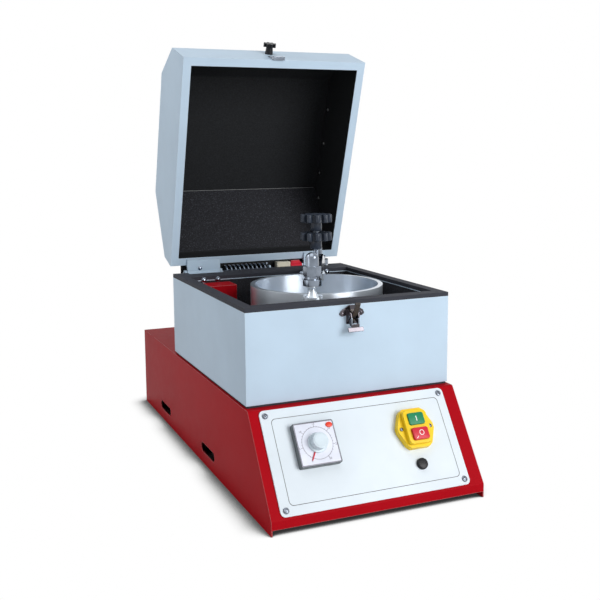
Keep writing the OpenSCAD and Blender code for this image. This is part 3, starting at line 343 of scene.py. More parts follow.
@dataclass(frozen=True)
class Enamel(Finish):
    """Baked enamel on sheet metal: slight orange peel and a soft gloss."""

    rough: float = 0.32
    coat: float = 0.25
    peel: float = 0.12
    bend: float = 1.18
    # How strongly a painted highlight lightens the folds and bends.
    worn: float = 0.0

    def dress(self, sheet: NodeSheet) -> None:
        """Lays the paint's faint unevenness, its gloss, its peel and a painted highlight along its
        folds.

        Args:
            sheet: The material's node tree.
        """
        cloud = sheet.noise(9.0, 4.0, 0.55)
        coat = sheet.ramp(cloud, [(0.3, shade(self.colour, 0.955)),
                                  (0.7, shade(self.colour, 1.035))])
        # Painted highlight: folds and bends are lightened toward a pale tint of the paint.
        if self.worn:
            fold_glint = sheet.add("MixRGB", Color2=(*(0.4 * c + 0.6 for c in self.colour), 1.0))
            sheet.join(sheet.folds(self.edge, self.worn), fold_glint.inputs["Fac"])
            sheet.join(coat, fold_glint.inputs["Color1"])
            coat = fold_glint.outputs["Color"]
        sheet.paint(coat, "Base Color")
        gloss = sheet.noise(60.0, 3.0)
        sheet.paint(sheet.spread(gloss, self.rough - 0.05, self.rough + 0.07), "Roughness")
        sheet.set(Coat_Weight=self.coat, Coat_Roughness=0.12, IOR=self.bend)
        sheet.relief(sheet.noise(520.0, 2.0), self.peel, 0.0002, self.edge)


@dataclass(frozen=True)
class Metal(Finish):
    """Bare or plated metal, with the fine lines that turning or brushing leaves."""

    rough: float = 0.25
    grain: Point3 = (1, 1, 30)
    lines: float = 0.08
    # How far the colour's clouds darken: stain, and on the bright metals a painted dark reflection.
    stain: float = 0.1
    bare: float = 1.0
    turned: float = 0.0

    def dress(self, sheet: NodeSheet) -> None:
        """Lays the grain's lines, the shine and the metal's colour, in clouds of stain and painted
        dark reflection.

        Args:
            sheet: The material's node tree.
        """
        fine = sheet.noise(90.0, 6.0, 0.65, self.grain)
        cloud = sheet.noise(22.0, 3.0)
        # Darker clouds: stain, and on the bright, latch and screw metals a painted dark reflection.
        dull = shade(self.colour, 1 - self.stain)
        sheet.paint(sheet.ramp(cloud, [(0.3, dull), (0.7, self.colour)]), "Base Color")
        sheet.paint(sheet.spread(fine, self.rough * 0.75, self.rough * 1.3), "Roughness")
        sheet.set(Metallic=self.bare)
        if self.turned:
            sheet.set(Anisotropic=self.turned, Anisotropic_Rotation=0.25)
            tangent = sheet.add("Tangent", direction_type="RADIAL", axis="Z")
            sheet.paint(tangent.outputs["Tangent"], "Tangent")
        sheet.relief(fine, self.lines, 0.0001, self.edge)


@dataclass(frozen=True)
class Foam(Finish):
    """Black acoustic lining: a pebbled, speckled skin that hardly shines."""

    speck: float = 260.0
    light: float = 3.2
    depth: float = 0.5

    def dress(self, sheet: NodeSheet) -> None:
        """Lays the pebbles, the pale specks on their tops and the bump.

        Args:
            sheet: The material's node tree.
        """
        pebble = sheet.noise(self.speck, 4.0, 0.7)
        sheet.paint(sheet.ramp(pebble, [(0.42, shade(self.colour, 0.55)), (0.56, self.colour),
                                        (0.70, shade(self.colour, self.light))]), "Base Color")
        sheet.set(Roughness=0.82, Specular_IOR_Level=0.25)
        sheet.relief(pebble, self.depth, 0.0012, 0.0)


@dataclass(frozen=True)
class Plastic(Finish):
    """Moulded plastic or rubber, with a fine skin."""

    rough: float = 0.4
    grit: float = 0.1
    fine: float = 900.0

    def dress(self, sheet: NodeSheet) -> None:
        """Lays the moulded skin, its dull and shiny patches and its bump.

        Args:
            sheet: The material's node tree.
        """
        cloud = sheet.noise(35.0, 3.0)
        sheet.paint(sheet.ramp(cloud, [(0.3, shade(self.colour, 0.94)),
                                       (0.7, shade(self.colour, 1.05))]), "Base Color")
        patches = sheet.noise(120.0, 2.0)
        sheet.paint(sheet.spread(patches, self.rough - 0.06, self.rough + 0.08), "Roughness")
        sheet.set(Specular_IOR_Level=0.25)
        sheet.relief(sheet.noise(self.fine, 2.0), self.grit, 0.00015, self.edge)


RED = Enamel("red_enamel", tint("A8101B"), edge=0.0014, rough=0.3, coat=0.0, bend=1.06, worn=0.3)
GREY = Enamel("grey_enamel", tint("BDD1E2"), edge=0.0009, rough=0.38, coat=0.0, worn=0.35)
PANEL = Enamel("white_panel", tint("DEE7EE"), rough=0.35, coat=0.0, peel=0.04)
STAINLESS = Metal("stainless", tint("B9BCBE"), rough=0.3)
BOWL = Metal("turned_steel", tint("DAE3ED"), rough=0.34, grain=(1, 1, 40), bare=0.9, turned=0.85)
BRIGHT = Metal("bright_metal", tint("98A2B0"), rough=0.13, grain=(1, 1, 1), lines=0.03, stain=0.6)
LATCH = Metal("latch_metal", tint("6A666C"), rough=0.12, grain=(1, 1, 1), lines=0.02, stain=0.65)
SCREW = Metal("screw_metal", tint("747A84"), rough=0.2, grain=(1, 1, 1), lines=0.03, stain=0.5)
CAST = Enamel("cast_metal", tint("7A858D"), rough=0.5, coat=0.0, peel=0.5)
RUBBER = Plastic("black_rubber", tint("30323A"), rough=0.72, grit=0.3)
FOAM = Foam("black_foam", tint("292A2F"), speck=430.0, light=2.9)
LINING = Foam("hood_foam", tint("1C1E21"), speck=420.0, light=1.35, depth=0.3)
BLACK = Plastic("black_plastic", tint("141519"), rough=0.38)
GREY_PLASTIC = Plastic("grey_plastic", tint("5E6468"), rough=0.45)
DIAL = Plastic("dial_plastic", tint("DFE2EE"), rough=0.3, grit=0.03)
KNOB = Plastic("knob_plastic", tint("CFDCE4"), rough=0.25, grit=0.03)
RED_PLASTIC = Plastic("red_plastic", tint("CC2236"), rough=0.28, grit=0.05)
YELLOW = Plastic("yellow_plastic", tint("F2CC20"), rough=0.35)
GREEN = Plastic("green_plastic", tint("0F7F54"), rough=0.3, grit=0.05)
CREAM = Plastic("cream_plastic", tint("E6E0CC"), rough=0.5)
MOTOR = Enamel("motor_paint", tint("4E5962"), rough=0.5, coat=0.0, peel=0.3)
WIRE = Metal("spring_steel", tint("747E8B"), rough=0.25, grain=(1, 1, 1))
SMOKED = Metal("smoked_metal", tint("504B49"), rough=0.2, grain=(1, 1, 1), lines=0.02)
INK = Plastic("dark_ink", tint("3A3632"), rough=0.6, grit=0.02, edge=0.0)
DIAL_INK = Plastic("dial_ink", tint("6C6472"), rough=0.6, grit=0.02, edge=0.0)
THREAD = Plastic("pale_thread", tint("8A8C8C"), rough=0.8, grit=0.2, edge=0.0)
ORANGE = Plastic("lamp_plastic", tint("E2432E"), rough=0.25, grit=0.03)
KNOB_BLACK = Plastic("knob_black", tint("313844"), rough=0.3, grit=0.06)
WHITE_INK = Plastic("white_ink", tint("F4F4F2"), rough=0.5, grit=0.02, edge=0.0)


class Dresser:
    """Gives every CAD node its finish."""

    FINISHES: dict[Finish, tuple[str, ...]] = {
        RED: ("base_casing", "rear_panel", "corner_duct"),
        SMOKED: ("latch_claw",),
        LATCH: ("latch_plate", "latch_lever"),
        GREY: ("chamber_box", "hinge_brackets", "hinge_arms", "hood_shell"),
        PANEL: ("front_plate",),
        STAINLESS: ("bottom_plate", "chamber_floor", "motor_plate", "motor_pulley", "driven_pulley",
                    "press_foot", "orbit_plate", "hood_screws"),
        BOWL: ("bowl",),
        BRIGHT: ("panel_screws", "wall_bolts", "latch_keeper", "hinge_pins", "hinge_bolts",
                 "main_bearings", "main_shaft", "guide_crank_1", "guide_crank_2", "guide_crank_3",
                 "clamp_bridge", "clamp_nut", "pivot_nut", "clamp_spindle"),
        CAST: ("rotor", "bearing_housing"),
        RUBBER: ("deck_seal", "rim_seal", "drive_belt"),
        FOAM: ("chamber_lining",),
        LINING: ("hood_lining",),
        BLACK: ("hinge_cover", "fuse_holder", "fuse_cap", "power_inlet", "hood_knob", "turn_knob",
                "lock_knob"),
        GREY_PLASTIC: ("timer_body",),
        DIAL: ("timer_dial",),
        KNOB: ("timer_knob",),
        RED_PLASTIC: ("timer_lamp", "timer_pointer", "stop_button", "interlock_cam"),
        YELLOW: ("switch_housing",),
        GREEN: ("start_button",),
        CREAM: ("interlock_body",),
        MOTOR: ("motor",),
        WIRE: ("hinge_spring",),
    }

    def build(self, nodes: dict[str, bpy.types.Object]) -> None:
        """Puts the finishes on the nodes.

        Args:
            nodes: The frame's nodes by name.
        """
        for finish, names in self.FINISHES.items():
            for name in names:
                node = nodes[name]
                if not node.data.materials:
                    node.data.materials.append(finish.material())
                for slot in node.material_slots:
                    slot.material = finish.material()
            LOG.info("%s on %d nodes", finish.name, len(names))


@dataclass
class Piece:
    """A mesh on its way to becoming a piece of the object."""

    name: str
    body: str
    finish: Finish
    slot: str
    stands_for: tuple[str, ...] = ()
    sharp: float = 35.0

    def make(self, mesh: Mesh, place: Matrix = Matrix()) -> None:
        """Turns the mesh into an object that rides on its body.

        Args:
            mesh: The shape, which is used up.
            place: Where it goes.
        """
        bmesh.ops.transform(mesh, matrix=place, verts=mesh.verts)
        bmesh.ops.recalc_face_normals(mesh, faces=mesh.faces)
        data = bpy.data.meshes.new(self.name)
        mesh.to_mesh(data)
        mesh.free()
        data.shade_smooth()
        data.set_sharp_from_angle(angle=math.radians(self.sharp))
        data.materials.append(self.finish.material())
        piece = bpy.data.objects.new(self.name, data)
        bpy.context.collection.objects.link(piece)
        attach(piece, self.body)
        if self.stands_for:
            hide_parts(*self.stands_for)
        LOG.info("piece %s on %s", self.name, self.body)


class Shape:
    """Mesh makers that the sub-assemblies share."""

    @staticmethod
    def revolve(profile: Sequence[Point2], sides: int) -> Mesh:
        """Turns a profile of radius and height about Z.

        Args:
            profile: Points from the bottom up; a radius of 0 closes the end.
            sides: How many steps the turn has.

        Returns:
            The mesh.
        """
        mesh = bmesh.new()
        rings: list[list[bmesh.types.BMVert]] = []
        for r, z in profile:
            points = circle(r, sides) if r > TINY else [(0, 0)]
            rings.append([mesh.verts.new((x, y, z)) for x, y in points])
        for low, high in zip(rings, rings[1:]):
            for i in range(sides):
                j = (i + 1) % sides
                if len(low) == 1:
                    mesh.faces.new((low[0], high[i], high[j]))
                elif len(high) == 1:
                    mesh.faces.new((low[i], low[j], high[0]))
                else:
                    mesh.faces.new((low[i], low[j], high[j], high[i]))
        if len(rings[0]) > 1:
            mesh.faces.new(rings[0][::-1])
        if len(rings[-1]) > 1:
            mesh.faces.new(rings[-1])
        return mesh

    @staticmethod
    def prism(outline: Sequence[Point2], low: float, high: float, round_by: float = 0.0) -> Mesh:
        """Raises an outline into a block and rounds its upper edge.

        Args:
            outline: The outline's points in order.
            low: The block's lower height.
            high: The block's upper height.
            round_by: The radius of the upper edge.

        Returns:
            The mesh.
        """
        mesh = bmesh.new()
        foot = [mesh.verts.new((x, y, low)) for x, y in outline]
        head = [mesh.verts.new((x, y, high)) for x, y in outline]
        mesh.faces.new(foot[::-1])
        top = mesh.faces.new(head)
        n = len(outline)
        for i in range(n):
            mesh.faces.new((foot[i], foot[(i + 1) % n], head[(i + 1) % n], head[i]))
        if round_by > 0:
            Shape.soften(mesh, list(top.edges), round_by)
        return mesh

    @staticmethod
    def soften(mesh: Mesh, edges: list[bmesh.types.BMEdge], radius: float) -> None:
        """Rounds some of a mesh's edges."""
        bmesh.ops.bevel(mesh, geom=edges, offset=radius, segments=3, profile=0.5,
                        affect="EDGES", clamp_overlap=True)

    @staticmethod
    def rounded(outline: Sequence[Point2], radius: float, steps: int = 5) -> list[Point2]:
        """Rounds an outline's corners.

        Args:
            outline: A convex outline, anticlockwise.
            radius: The radius of each corner.
            steps: How many steps each corner has.

        Returns:
            The new outline.
        """
        result: list[Point2] = []
        n = len(outline)
        for i in range(n):
            a, p, b = (Vector(outline[(i + k) % n]) for k in (-1, 0, 1))
            u, w = (a - p).normalized(), (b - p).normalized()
            half = math.acos(max(-1.0, min(1.0, u.dot(w)))) / 2
            centre = p + (u + w).normalized() * radius / math.sin(half)
            start = p + u * radius / math.tan(half) - centre
            end = p + w * radius / math.tan(half) - centre
            first = math.atan2(start.y, start.x)
            sweep = (math.atan2(end.y, end.x) - first + 1.5 * FULL_TURN) % FULL_TURN - math.pi
            for k in range(steps + 1):
                angle = first + sweep * k / steps
                result.append((centre.x + radius * math.cos(angle),
                               centre.y + radius * math.sin(angle)))
        return result

    @staticmethod
    def rectangle(width: float, height: float) -> list[Point2]:
        """Returns a rectangle's corners about the origin, anticlockwise."""
        w, h = width / 2, height / 2
        return [(-w, -h), (w, -h), (w, h), (-w, h)]

    @staticmethod
    def band(outer: Sequence[Point2], inner: Sequence[Point2], low: float, high: float) -> Mesh:
        """Builds a flat frame between two outlines.

        Args:
            outer: The outer outline.
            inner: The inner outline, with as many points.
            low: The frame's lower height.
            high: The frame's upper height.

        Returns:
            The mesh.
        """
        mesh = bmesh.new()
        n = len(outer)
        loops = [[mesh.verts.new((x, y, z)) for x, y in loop] for loop, z in
                 ((outer, low), (outer, high), (inner, high), (inner, low))]
        for a, b in zip(loops, loops[1:] + loops[:1]):
            for i in range(n):
                mesh.faces.new((a[i], a[(i + 1) % n], b[(i + 1) % n], b[i]))
        return mesh

    @staticmethod
    def tube(path: Sequence[Vector], radius: float, sides: int) -> Mesh:
        """Runs a round wire along a path and closes its ends.

        Args:
            path: The points on the wire's middle line.
            radius: The wire's radius.
            sides: How many sides it has.

        Returns:
            The mesh.
        """
        mesh = bmesh.new()
        rings: list[list[bmesh.types.BMVert]] = []
        for i, p in enumerate(path):
            along = (path[min(i + 1, len(path) - 1)] - path[max(i - 1, 0)]).normalized()
            across = Vector((1, 0, 0)) if abs(along.x) < 0.9 else Vector((0, 0, 1))
            side = along.cross(across).normalized()
            up = along.cross(side)
            rings.append([mesh.verts.new(p + side * x + up * y) for x, y in circle(radius, sides)])
        for low, high in zip(rings, rings[1:]):
            for k in range(sides):
                mesh.faces.new((low[k], low[(k + 1) % sides], high[(k + 1) % sides], high[k]))
        mesh.faces.new(rings[0][::-1])
        mesh.faces.new(rings[-1])
        return mesh

    @staticmethod
    def cut(mesh: Mesh, tool: Mesh) -> Mesh:
        """Takes a tool's shape out of a closed mesh.

        Args:
            mesh: The mesh to cut, which is used up.
            tool: The closed shape that goes away, which is used up.

        Returns:
            What is left.
        """
        holders: list[bpy.types.Object] = []
        for name, part in (("stock", mesh), ("tool", tool)):
            bmesh.ops.recalc_face_normals(part, faces=part.faces)
            data = bpy.data.meshes.new(name)
            part.to_mesh(data)
            part.free()
            holder = bpy.data.objects.new(name, data)
            bpy.context.collection.objects.link(holder)
            holders.append(holder)
        step = holders[0].modifiers.new("cut", "BOOLEAN")
        step.operation = "DIFFERENCE"
        step.solver = "EXACT"
        step.object = holders[1]
        left = holders[0].evaluated_get(bpy.context.evaluated_depsgraph_get()).to_mesh()
        result = bmesh.new()
        result.from_mesh(left)
        for holder in holders:
            data = holder.data
            bpy.data.objects.remove(holder)
            bpy.data.meshes.remove(data)
        return result

    @staticmethod
    def words(text: str, size: float, high: float) -> Mesh:
        """Builds a line of raised characters about the origin.

        Args:
            text: The characters.
            size: Their height.
            high: How far they stand out.

        Returns:
            The mesh.
        """
        curve = bpy.data.curves.new("text", "FONT")
        curve.body = text
        curve.size = size * 1.4
        curve.extrude = high / 2
        curve.align_x = "CENTER"
        curve.align_y = "CENTER"
        curve.resolution_u = 4
        holder = bpy.data.objects.new("text", curve)
        bpy.context.collection.objects.link(holder)
        flat = holder.evaluated_get(bpy.context.evaluated_depsgraph_get()).to_mesh()
        mesh = bmesh.new()
        mesh.from_mesh(flat)
        bpy.data.objects.remove(holder)
        bpy.data.curves.remove(curve)
        return mesh

    @staticmethod
    def add(mesh: Mesh, other: Mesh, place: Matrix = Matrix()) -> None:
        """Adds a second mesh to the first.

        Args:
            mesh: The mesh that grows.
            other: The mesh to add, which is used up.
            place: Where it goes.
        """
        data = bpy.data.meshes.new("part")
        bmesh.ops.transform(other, matrix=place, verts=other.verts)
        other.to_mesh(data)
        other.free()
        mesh.from_mesh(data)
        bpy.data.meshes.remove(data)


@dataclass
class Slope:
    """The sloping front: its fold, its angle, and the way from there to a control."""

    fold_y: float = -300 * MM
    deck: float = 170 * MM
    run: float = 100 * MM
    drop: float = 146 * MM

    def at(self, right: float, down: float, up: float) -> Matrix:
        """Returns the place of a point on the slope, with Z out of it and Y up it.

        Args:
            right: Distance from the middle.
            down: Distance below the fold.
            up: Distance out of the slope.

        Returns:
            The matrix.
        """
        tilt = Matrix.Rotation(math.atan2(self.drop, self.run), 4, "X")
        return move(0, self.fold_y, self.deck) @ tilt @ move(right, -down, up)


class Mark(Enum):
    """The mark printed on a push button."""

    START = "bar"
    STOP = "ring"


@dataclass
class Screws:
    """Domed cross-head screws."""

    cross: float = 0.62
    slot: float = 0.16
    deep: float = 0.55

    def head(self, width: float, height: float) -> Mesh:
        """Builds one head that stands on the origin with its cross cut in.

        Args:
            width: The head's diameter.
            height: Its height.

        Returns:
            The mesh.
        """
        r = width / 2
        arc = [(r * math.cos(math.radians(a)), height * (0.3 + 0.7 * math.sin(math.radians(a))))
               for a in range(0, 90, 15)]
        mesh = Shape.revolve([(0, 0), (r, 0), *arc, (0, height)], 40)
        long, wide = width * self.cross / 2, width * self.slot / 2
        corners = [(-long, -wide), (-wide, -wide), (-wide, -long), (wide, -long), (wide, -wide),
                   (long, -wide), (long, wide), (wide, wide), (wide, long), (-wide, long),
                   (-wide, wide), (-long, wide)]
        return Shape.cut(mesh, Shape.prism(corners, height * (1 - self.deep), height * 1.5))


@dataclass
class FrontPanel:
    """The printed plate, its screws, the timer, the two-button switch and the fuse cap."""

    slope: Slope
    plate: float = 2 * MM
    plate_middle: float = -4 * MM
    plate_size: Point2 = (343 * MM, 171 * MM)
    plate_gap: float = 2.5 * MM
    print_across: Point2 = (-158 * MM, 152.5 * MM)
    print_down: Point2 = (18 * MM, 158.5 * MM)
    print_line: float = 0.85 * MM
    print_rounds: Point2 = (7.5 * MM, 7 * MM)
    ink_root: float = -0.1 * MM
    plate_ink: float = 0.06 * MM
    plate_screw: Point2 = (10 * MM, 2.5 * MM)
    plate_screw_in: float = 9.5 * MM
    rear_screw: Point2 = (8 * MM, 2.5 * MM)
    rear_screw_x: float = 179 * MM
    rear_screw_z: Point2 = (24 * MM, 156 * MM)
    rear_y: float = 397 * MM

    timer: Point2 = (-93 * MM, 70 * MM)
    timer_side: float = 72 * MM
    timer_face: float = 14.5 * MM
    dial_ink: float = 0.05 * MM
    dial_ring: Point2 = (26.8 * MM, 26.2 * MM)
    dial_line: Point2 = (68.6 * MM, 66.8 * MM)
    dial_line_rounds: Point2 = (2 * MM, 1.4 * MM)
    dial_line_ink: float = 0.04 * MM
    tick_from: float = 26.5 * MM
    long_tick: Point2 = (30 * MM, 0.6 * MM)
    short_tick: Point2 = (28.2 * MM, 0.35 * MM)
    digits: float = 3.6 * MM
    digit_reach: Point2 = (31.8 * MM, 33 * MM)
    zero: float = -120.0
    tick_turn: float = 10.0
    ticks: int = 30
    numbered: int = 5
    grip: float = 12.7 * MM
    flute: float = 0.3 * MM
    flutes: int = 24
    knob_up: float = 0.3 * MM
    lamp_in: float = 9 * MM
    lamp_squash: float = 0.75

    switch: Point2 = (89 * MM, 69 * MM)
    switch_size: Point2 = (68 * MM, 67 * MM)
    switch_screw: Point2 = (6.5 * MM, 2 * MM)
    switch_screw_in: float = 6.5 * MM
    tiers: Point2 = (12 * MM, 20 * MM)
    crown: Point2 = (44 * MM, 57 * MM)
    crown_wall: float = 3 * MM
    button: Point2 = (29 * MM, 20 * MM)
    button_off: float = 13 * MM
    button_foot: float = 6 * MM
    button_fit: float = 0.3 * MM
    start_proud: float = 2.5 * MM
    stop_proud: float = 4.5 * MM
    ring: Point2 = (4.6 * MM, 3.5 * MM)

    fuse: Point2 = (87 * MM, 128 * MM)
    fuse_up: float = 2.3 * MM
    fuse_cap: Point2 = (9.5 * MM, 4 * MM)
    fuse_slot: Point2 = (12 * MM, 2 * MM)

    def build(self) -> None:
        """Builds all of the panel's pieces."""
        self.print_frame()
        self.screws()
        self.dial()
        self.knob()
        self.lamp()
        self.housing()
        self.push("start", Mark.START, 1, self.start_proud, GREEN)
        self.push("stop", Mark.STOP, -1, self.stop_proud, RED_PLASTIC)
        self.cap()

    def print_frame(self) -> None:
        """Prints the hairline frame on the plate."""
        left, right = self.print_across
        top, low = self.print_down
        outer, inner = (
            Shape.rounded(Shape.rectangle(right - left - 2 * line, low - top - 2 * line), radius, 8)
            for line, radius in zip((0, self.print_line), self.print_rounds))
        Piece("plate_print", "base", INK, "white_panel").make(
            Shape.band(outer, inner, self.ink_root, self.plate_ink),
            self.slope.at((left + right) / 2, (top + low) / 2, self.plate))

    def screws(self) -> None:
        """Sets the cross-head screws of the plate, the switch and the rear panel."""
        maker = Screws()
        mesh = bmesh.new()
        w, h = (side / 2 - self.plate_screw_in for side in self.plate_size)
        middle = self.plate_gap + self.plate_size[1] / 2
        for i, (sx, sy) in enumerate(((-1, -1), (1, -1), (-1, 1), (1, 1))):
            spot = self.slope.at(self.plate_middle + sx * w, middle + sy * h, self.plate)
            Shape.add(mesh, maker.head(*self.plate_screw), spot @ turn(20 + 31 * i))
        off = self.switch_size[0] / 2 - self.switch_screw_in
        for s in (-1, 1):
            spot = self.slope.at(self.switch[0] + s * off, self.switch[1],
                                 self.plate + self.tiers[0])
            Shape.add(mesh, maker.head(*self.switch_screw), spot @ turn(15 * s))
        for i in range(3):
            for k, z in enumerate(self.rear_screw_z):
                spot = move((i - 1) * self.rear_screw_x, self.rear_y, z) @ turn(-90, "X")
                Shape.add(mesh, maker.head(*self.rear_screw), spot @ turn(25 * i + 40 * k))
        Piece("cross_screws", "base", SCREW, "bright_metal", ("panel_screws",)).make(mesh)

    def dial(self) -> None:
        """Prints the timer's ring, its ticks, its numbers and the line round them."""
        mesh = Shape.band(*(circle(r, 96) for r in self.dial_ring), self.ink_root, self.dial_ink)
        squares = (Shape.rounded(Shape.rectangle(side, side), radius)
                   for side, radius in zip(self.dial_line, self.dial_line_rounds))
        Shape.add(mesh, Shape.band(*squares, self.ink_root, self.dial_line_ink))
        for i in range(self.ticks + 1):
            far, wide = self.short_tick if i % self.numbered else self.long_tick
            tick = Shape.prism([(self.tick_from, -wide / 2), (far, -wide / 2), (far, wide / 2),
                                (self.tick_from, wide / 2)], self.ink_root, self.dial_ink)
            Shape.add(mesh, tick, turn(self.zero - self.tick_turn * i))
        for i in range(0, self.ticks + 1, self.numbered):
            angle = math.radians(self.zero - self.tick_turn * i)
            number = Shape.words(str(i), self.digits, 2 * self.dial_ink)
            reach = self.digit_reach[i % (3 * self.numbered) > 0]
            Shape.add(mesh, number, move(reach * math.cos(angle), reach * math.sin(angle), 0))
        Piece("dial_print", "base", DIAL_INK, "dial_plastic").make(
            mesh, self.slope.at(*self.timer, self.timer_face))

    def knob(self) -> None:
        """Builds the timer's knob, a fluted grip on a round skirt, and its red hand."""
        spot = self.slope.at(*self.timer, self.timer_face + self.knob_up)
        mesh = Shape.revolve([(0, 0), (16.5 * MM, 0), (16.5 * MM, 1.4 * MM), (16 * MM, 2.2 * MM),
                              (13.4 * MM, 3 * MM), (0, 3 * MM)], 72)
        grip = []
        for x, y in circle(1, 8 * self.flutes):
            r = self.grip + self.flute * math.cos(self.flutes * math.atan2(y, x))
            grip.append((r * x, r * y))
        Shape.add(mesh, Shape.prism(grip, 2.5 * MM, 15.4 * MM, 0.9 * MM))
        Shape.add(mesh, Shape.revolve([(0, 14.5 * MM), (10.6 * MM, 14.5 * MM),
                                       (10.6 * MM, 15.6 * MM), (10.2 * MM, 16 * MM),
                                       (0, 15.7 * MM)], 64))
        Piece("timer_grip", "timer_knob", KNOB, "knob_plastic", ("timer_knob",)).make(mesh, spot)
        hand = Shape.prism([(16.6 * MM, -1.1 * MM), (31 * MM, -0.8 * MM), (31 * MM, 0.8 * MM),
                            (16.6 * MM, 1.1 * MM)], 0.1 * MM, 1.4 * MM, 0.3 * MM)
        Piece("timer_hand", "timer_knob", RED_PLASTIC, "red_plastic", ("timer_pointer",)).make(
            hand, spot @ turn(self.zero))

    def lamp(self) -> None:
        """Builds the timer's oval red lamp."""
        mesh = Shape.revolve([(0, 0), (6 * MM, 0), (6 * MM, 0.8 * MM), (5.4 * MM, 1.5 * MM),
                              (3.6 * MM, 1.9 * MM), (0, 2 * MM)], 48)
        inset = self.timer_side / 2 - self.lamp_in
        spot = self.slope.at(self.timer[0] + inset, self.timer[1] - inset, self.timer_face)
        Piece("timer_lens", "base", ORANGE, "red_plastic", ("timer_lamp",)).make(
            mesh, spot @ Matrix.Diagonal((1, self.lamp_squash, 1, 1)))

    def housing(self) -> None:
        """Builds the switch's two-tier yellow housing with its two wells."""
        w, h = self.switch_size[0] / 2, self.switch_size[1] / 2
        quarter = [(w, 4 * MM), (w - 11 * MM, h - 5 * MM), (w - 17 * MM, h)]
        half = quarter + [(-x, y) for x, y in reversed(quarter)]
        outline = [(-x, -y) for x, y in half] + half
        low, high = self.tiers
        wells = bmesh.new()
        well = Shape.rounded(
            Shape.rectangle(*(side + 2 * self.button_fit for side in self.button)), 2.7 * MM)
        for s in (-1, 1):
            Shape.add(wells, Shape.prism(well, 0, 2 * high), move(0, s * self.button_off, 0))
        base = Shape.prism(Shape.rounded(outline, 2.4 * MM, 4), 0, low, 2.2 * MM)
        room = Shape.rectangle(*(side - 2 * self.crown_wall for side in self.crown))
        base = Shape.cut(base, Shape.prism(Shape.rounded(room, 4 * MM), 0.8 * MM, 30 * MM))
        crown = Shape.prism(Shape.rounded(Shape.rectangle(*self.crown), 6 * MM, 6),
                            1 * MM, high, 2 * MM)
        crown = Shape.cut(crown, wells)
        Shape.add(base, crown)
        Piece("switch_case", "base", YELLOW, "yellow_plastic", ("switch_housing",)).make(
            base, self.slope.at(*self.switch, self.plate))

    def push(self, name: str, mark: Mark, side: int, proud: float, finish: Finish) -> None:
        """Builds one push button with its mark.

        Args:
            name: The button's name.
            mark: What is printed on it.
            side: 1 for the upper button and -1 for the lower.
            proud: How far it stands out of the housing.
            finish: Its plastic.
        """
        place = self.slope.at(self.switch[0], self.switch[1] - side * self.button_off,
                              self.plate + self.button_foot)
        top = self.tiers[1] - self.button_foot + proud
        root, face = top + self.ink_root, top + self.dial_ink
        block = Shape.prism(Shape.rounded(Shape.rectangle(*self.button), 2.5 * MM),
                            0, top, 1.1 * MM)
        node = name + "_button"
        Piece(name + "_key", node, finish, finish.name, (node,)).make(block, place)
        if mark is Mark.START:
            ink = Shape.prism(Shape.rectangle(1.3 * MM, 8.5 * MM), root, face)
        else:
            ink = Shape.band(*(circle(r, 40) for r in self.ring), root, face)
            bmesh.ops.translate(ink, vec=(1.5 * MM, 1 * MM, 0), verts=ink.verts)
            dash = Shape.prism(Shape.rectangle(5 * MM, 0.9 * MM), root, face)
            Shape.add(ink, dash, move(-8 * MM, -6 * MM, 0) @ turn(40))
        Piece(name + "_mark", node, WHITE_INK, finish.name).make(ink, place)

    def cap(self) -> None:
        """Builds the fuse holder's cap with its coin slot."""
        r, h = self.fuse_cap
        mesh = Shape.revolve([(0, -16 * MM), (4.5 * MM, -16 * MM), (4.5 * MM, 0), (r, 0),
                              (r - 0.3 * MM, h - 1.2 * MM), (r - 0.8 * MM, h - 0.4 * MM),
                              (r - 1.6 * MM, h), (0, h)], 56)
        tool = Shape.prism(Shape.rectangle(*self.fuse_slot), h - 1.5 * MM, h + 2 * MM)
        Piece("fuse_cap_top", "fuse_cap", BLACK, "black_plastic", ("fuse_cap",)).make(
            Shape.cut(mesh, tool), self.slope.at(*self.fuse, self.plate + self.fuse_up))


